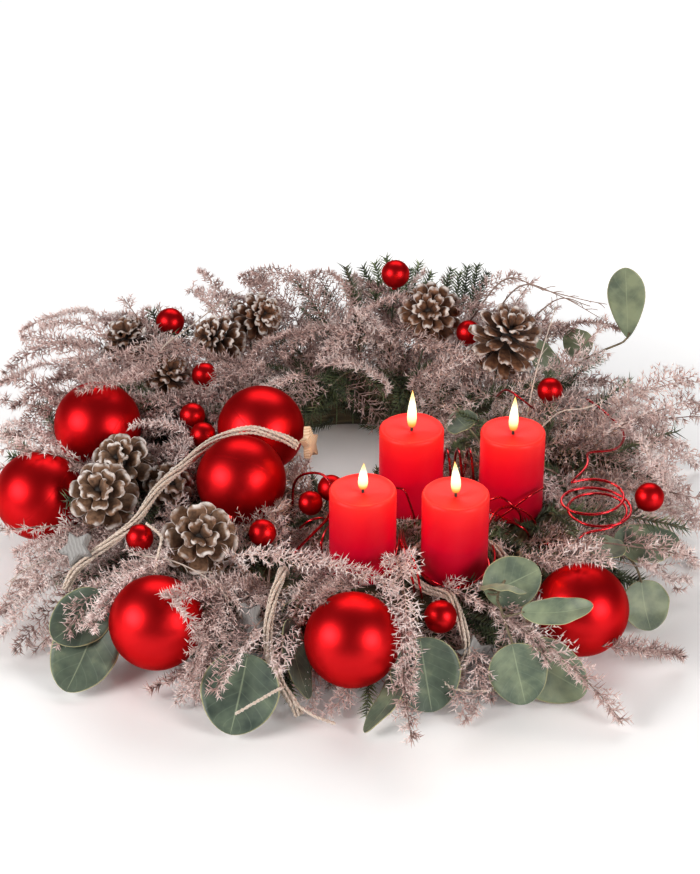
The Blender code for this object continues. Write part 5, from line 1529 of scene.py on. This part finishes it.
enamel = mottled("red_enamel", [(0.3, (0.4, 0.0, 0.005)), (0.7, (0.58, 0.004, 0.012))],
                 {"Metallic": 0.85, "Roughness": 0.22, "Coat Weight": 0.4}, on_object=True,
                 Scale=300.0, Detail=3.0)
for spot in ("right", "coil", "front", "left"):
    placed(f"wire_{spot}_enamel", rounded_wire(f"wire_{spot}"), enamel, [f"wire_{spot}"])
EXTRA_WIRES = [
    [(41, -35, 92), (48, -45, 96), (52, -46, 86), (57, -41, 66), (58, -41, 52)],
    [(124, -49, 88), (133, -51, 92), (143, -54, 86), (151, -50, 74), (153, -42, 54)],
    [(123, -53, 78), (138, -62, 76), (154, -66, 68), (160, -58, 54)],
    [(172, -35, 92), (158, -47, 90), (146, -48, 80), (134, -46, 68), (129, -38, 56)],
    [(120, -68, 62), (125, -97, 69), (125, -119, 70), (118, -136, 70), (103, -157, 70),
     (89, -157, 66), (83, -139, 56)],
    [(44, -55, 60), (42, -104, 78), (39, -125, 78), (35, -142, 74), (33, -138, 60)],
    [(45, -51, 60), (45, -109, 82), (48, -134, 84), (53, -159, 76), (55, -154, 60)],
    [(47, -51, 58), (48, -111, 80), (55, -141, 82), (59, -169, 76), (61, -163, 60)],
    [(-44, -74, 74), (-36, -78, 84), (-26, -76, 86), (-18, -55, 70)],
    [(-17, -70, 76), (-22, -93, 82), (-25, -106, 78), (-24, -100, 62)],
    [(139, 126, 96), (146, 102, 116), (158, 86, 116), (172, 98, 98)],
]
arcs = [smooth_route(corners, 3) for corners in EXTRA_WIRES]
placed("wire_arcs", round_wires(arcs, 1.05), enamel)


# Small wooden stars sawn across a branch, tied in beside the twine. One is fresh and pale, the others grey.
# Two more are half hidden under the fern: a grey one low at the front, and a very small pale one. These two
# are given by their centre, the way they face, their reach, their turn and their wood.
STAR_WOOD = {
    "light": [(0.0, (0.6, 0.4, 0.24)), (0.5, (0.72, 0.52, 0.34)), (1.0, (0.8, 0.62, 0.44))],
    "grey": [(0.0, (0.27, 0.26, 0.25)), (0.5, (0.3, 0.29, 0.285)), (1.0, (0.34, 0.33, 0.32))],
}
STARS = {"star_by_hole": "light", "star_left": "grey", "star_front_left": "grey"}
SMALL_STARS = {"star_front_right": (v(105, -214, 38), v(0.1, -0.9, 0.35), 17, 0.4, "grey"),
               "star_small": (v(147, -132, 72), v(0.1, -0.6, 0.8), 6, 0.0, "light")}
STAR_THICKNESS = 4
wood = {}
for tone, stops in STAR_WOOD.items():
    wood[tone], tree, shader = new_material(f"{tone}_wood", {"Roughness": 0.8})
    grain = {"Vector": place_on(tree), "Scale": 160.0, "Distortion": 3.0, "Detail": 3.0}
    rings = step(tree, "TexWave", grain, wave_type="RINGS", rings_direction="SPHERICAL").outputs["Fac"]
    coloured(tree, shader, rings, stops)
    relief(tree, shader, rings, 0.4)


def worn(shape, name, width):
    """A shape's mesh with its edges worn round."""
    bmesh.ops.bevel(shape, geom=shape.edges[:], offset=width, segments=2, affect="EDGES")
    return finished(shape, name)


for node, tone in STARS.items():
    shape = node_shape(node)
    bmesh.ops.dissolve_limit(shape, angle_limit=0.03, verts=shape.verts, edges=shape.edges)
    placed(f"{node}_wood", worn(shape, node, 0.7), wood[tone], [node], smooth=False)
for node, (centre, face, reach, turn, tone) in SMALL_STARS.items():
    shape = bmesh.new()
    corners = []
    for i in range(10):
        angle, far = turn + math.pi * i / 5, reach * (1 if i % 2 == 0 else 0.5)
        corners.append(shape.verts.new((far * math.cos(angle), far * math.sin(angle), -STAR_THICKNESS / 2)))
    front = bmesh.ops.extrude_face_region(shape, geom=[shape.faces.new(corners)])["geom"]
    bmesh.ops.translate(shape, verts=[part for part in front if isinstance(part, bmesh.types.BMVert)],
                        vec=(0, 0, STAR_THICKNESS))
    bmesh.ops.recalc_face_normals(shape, faces=shape.faces)
    star = worn(shape, node, 0.5)
    star.transform(turned_to(face.normalized(), centre))
    placed(f"{node}_wood", star, wood[tone], smooth=False)
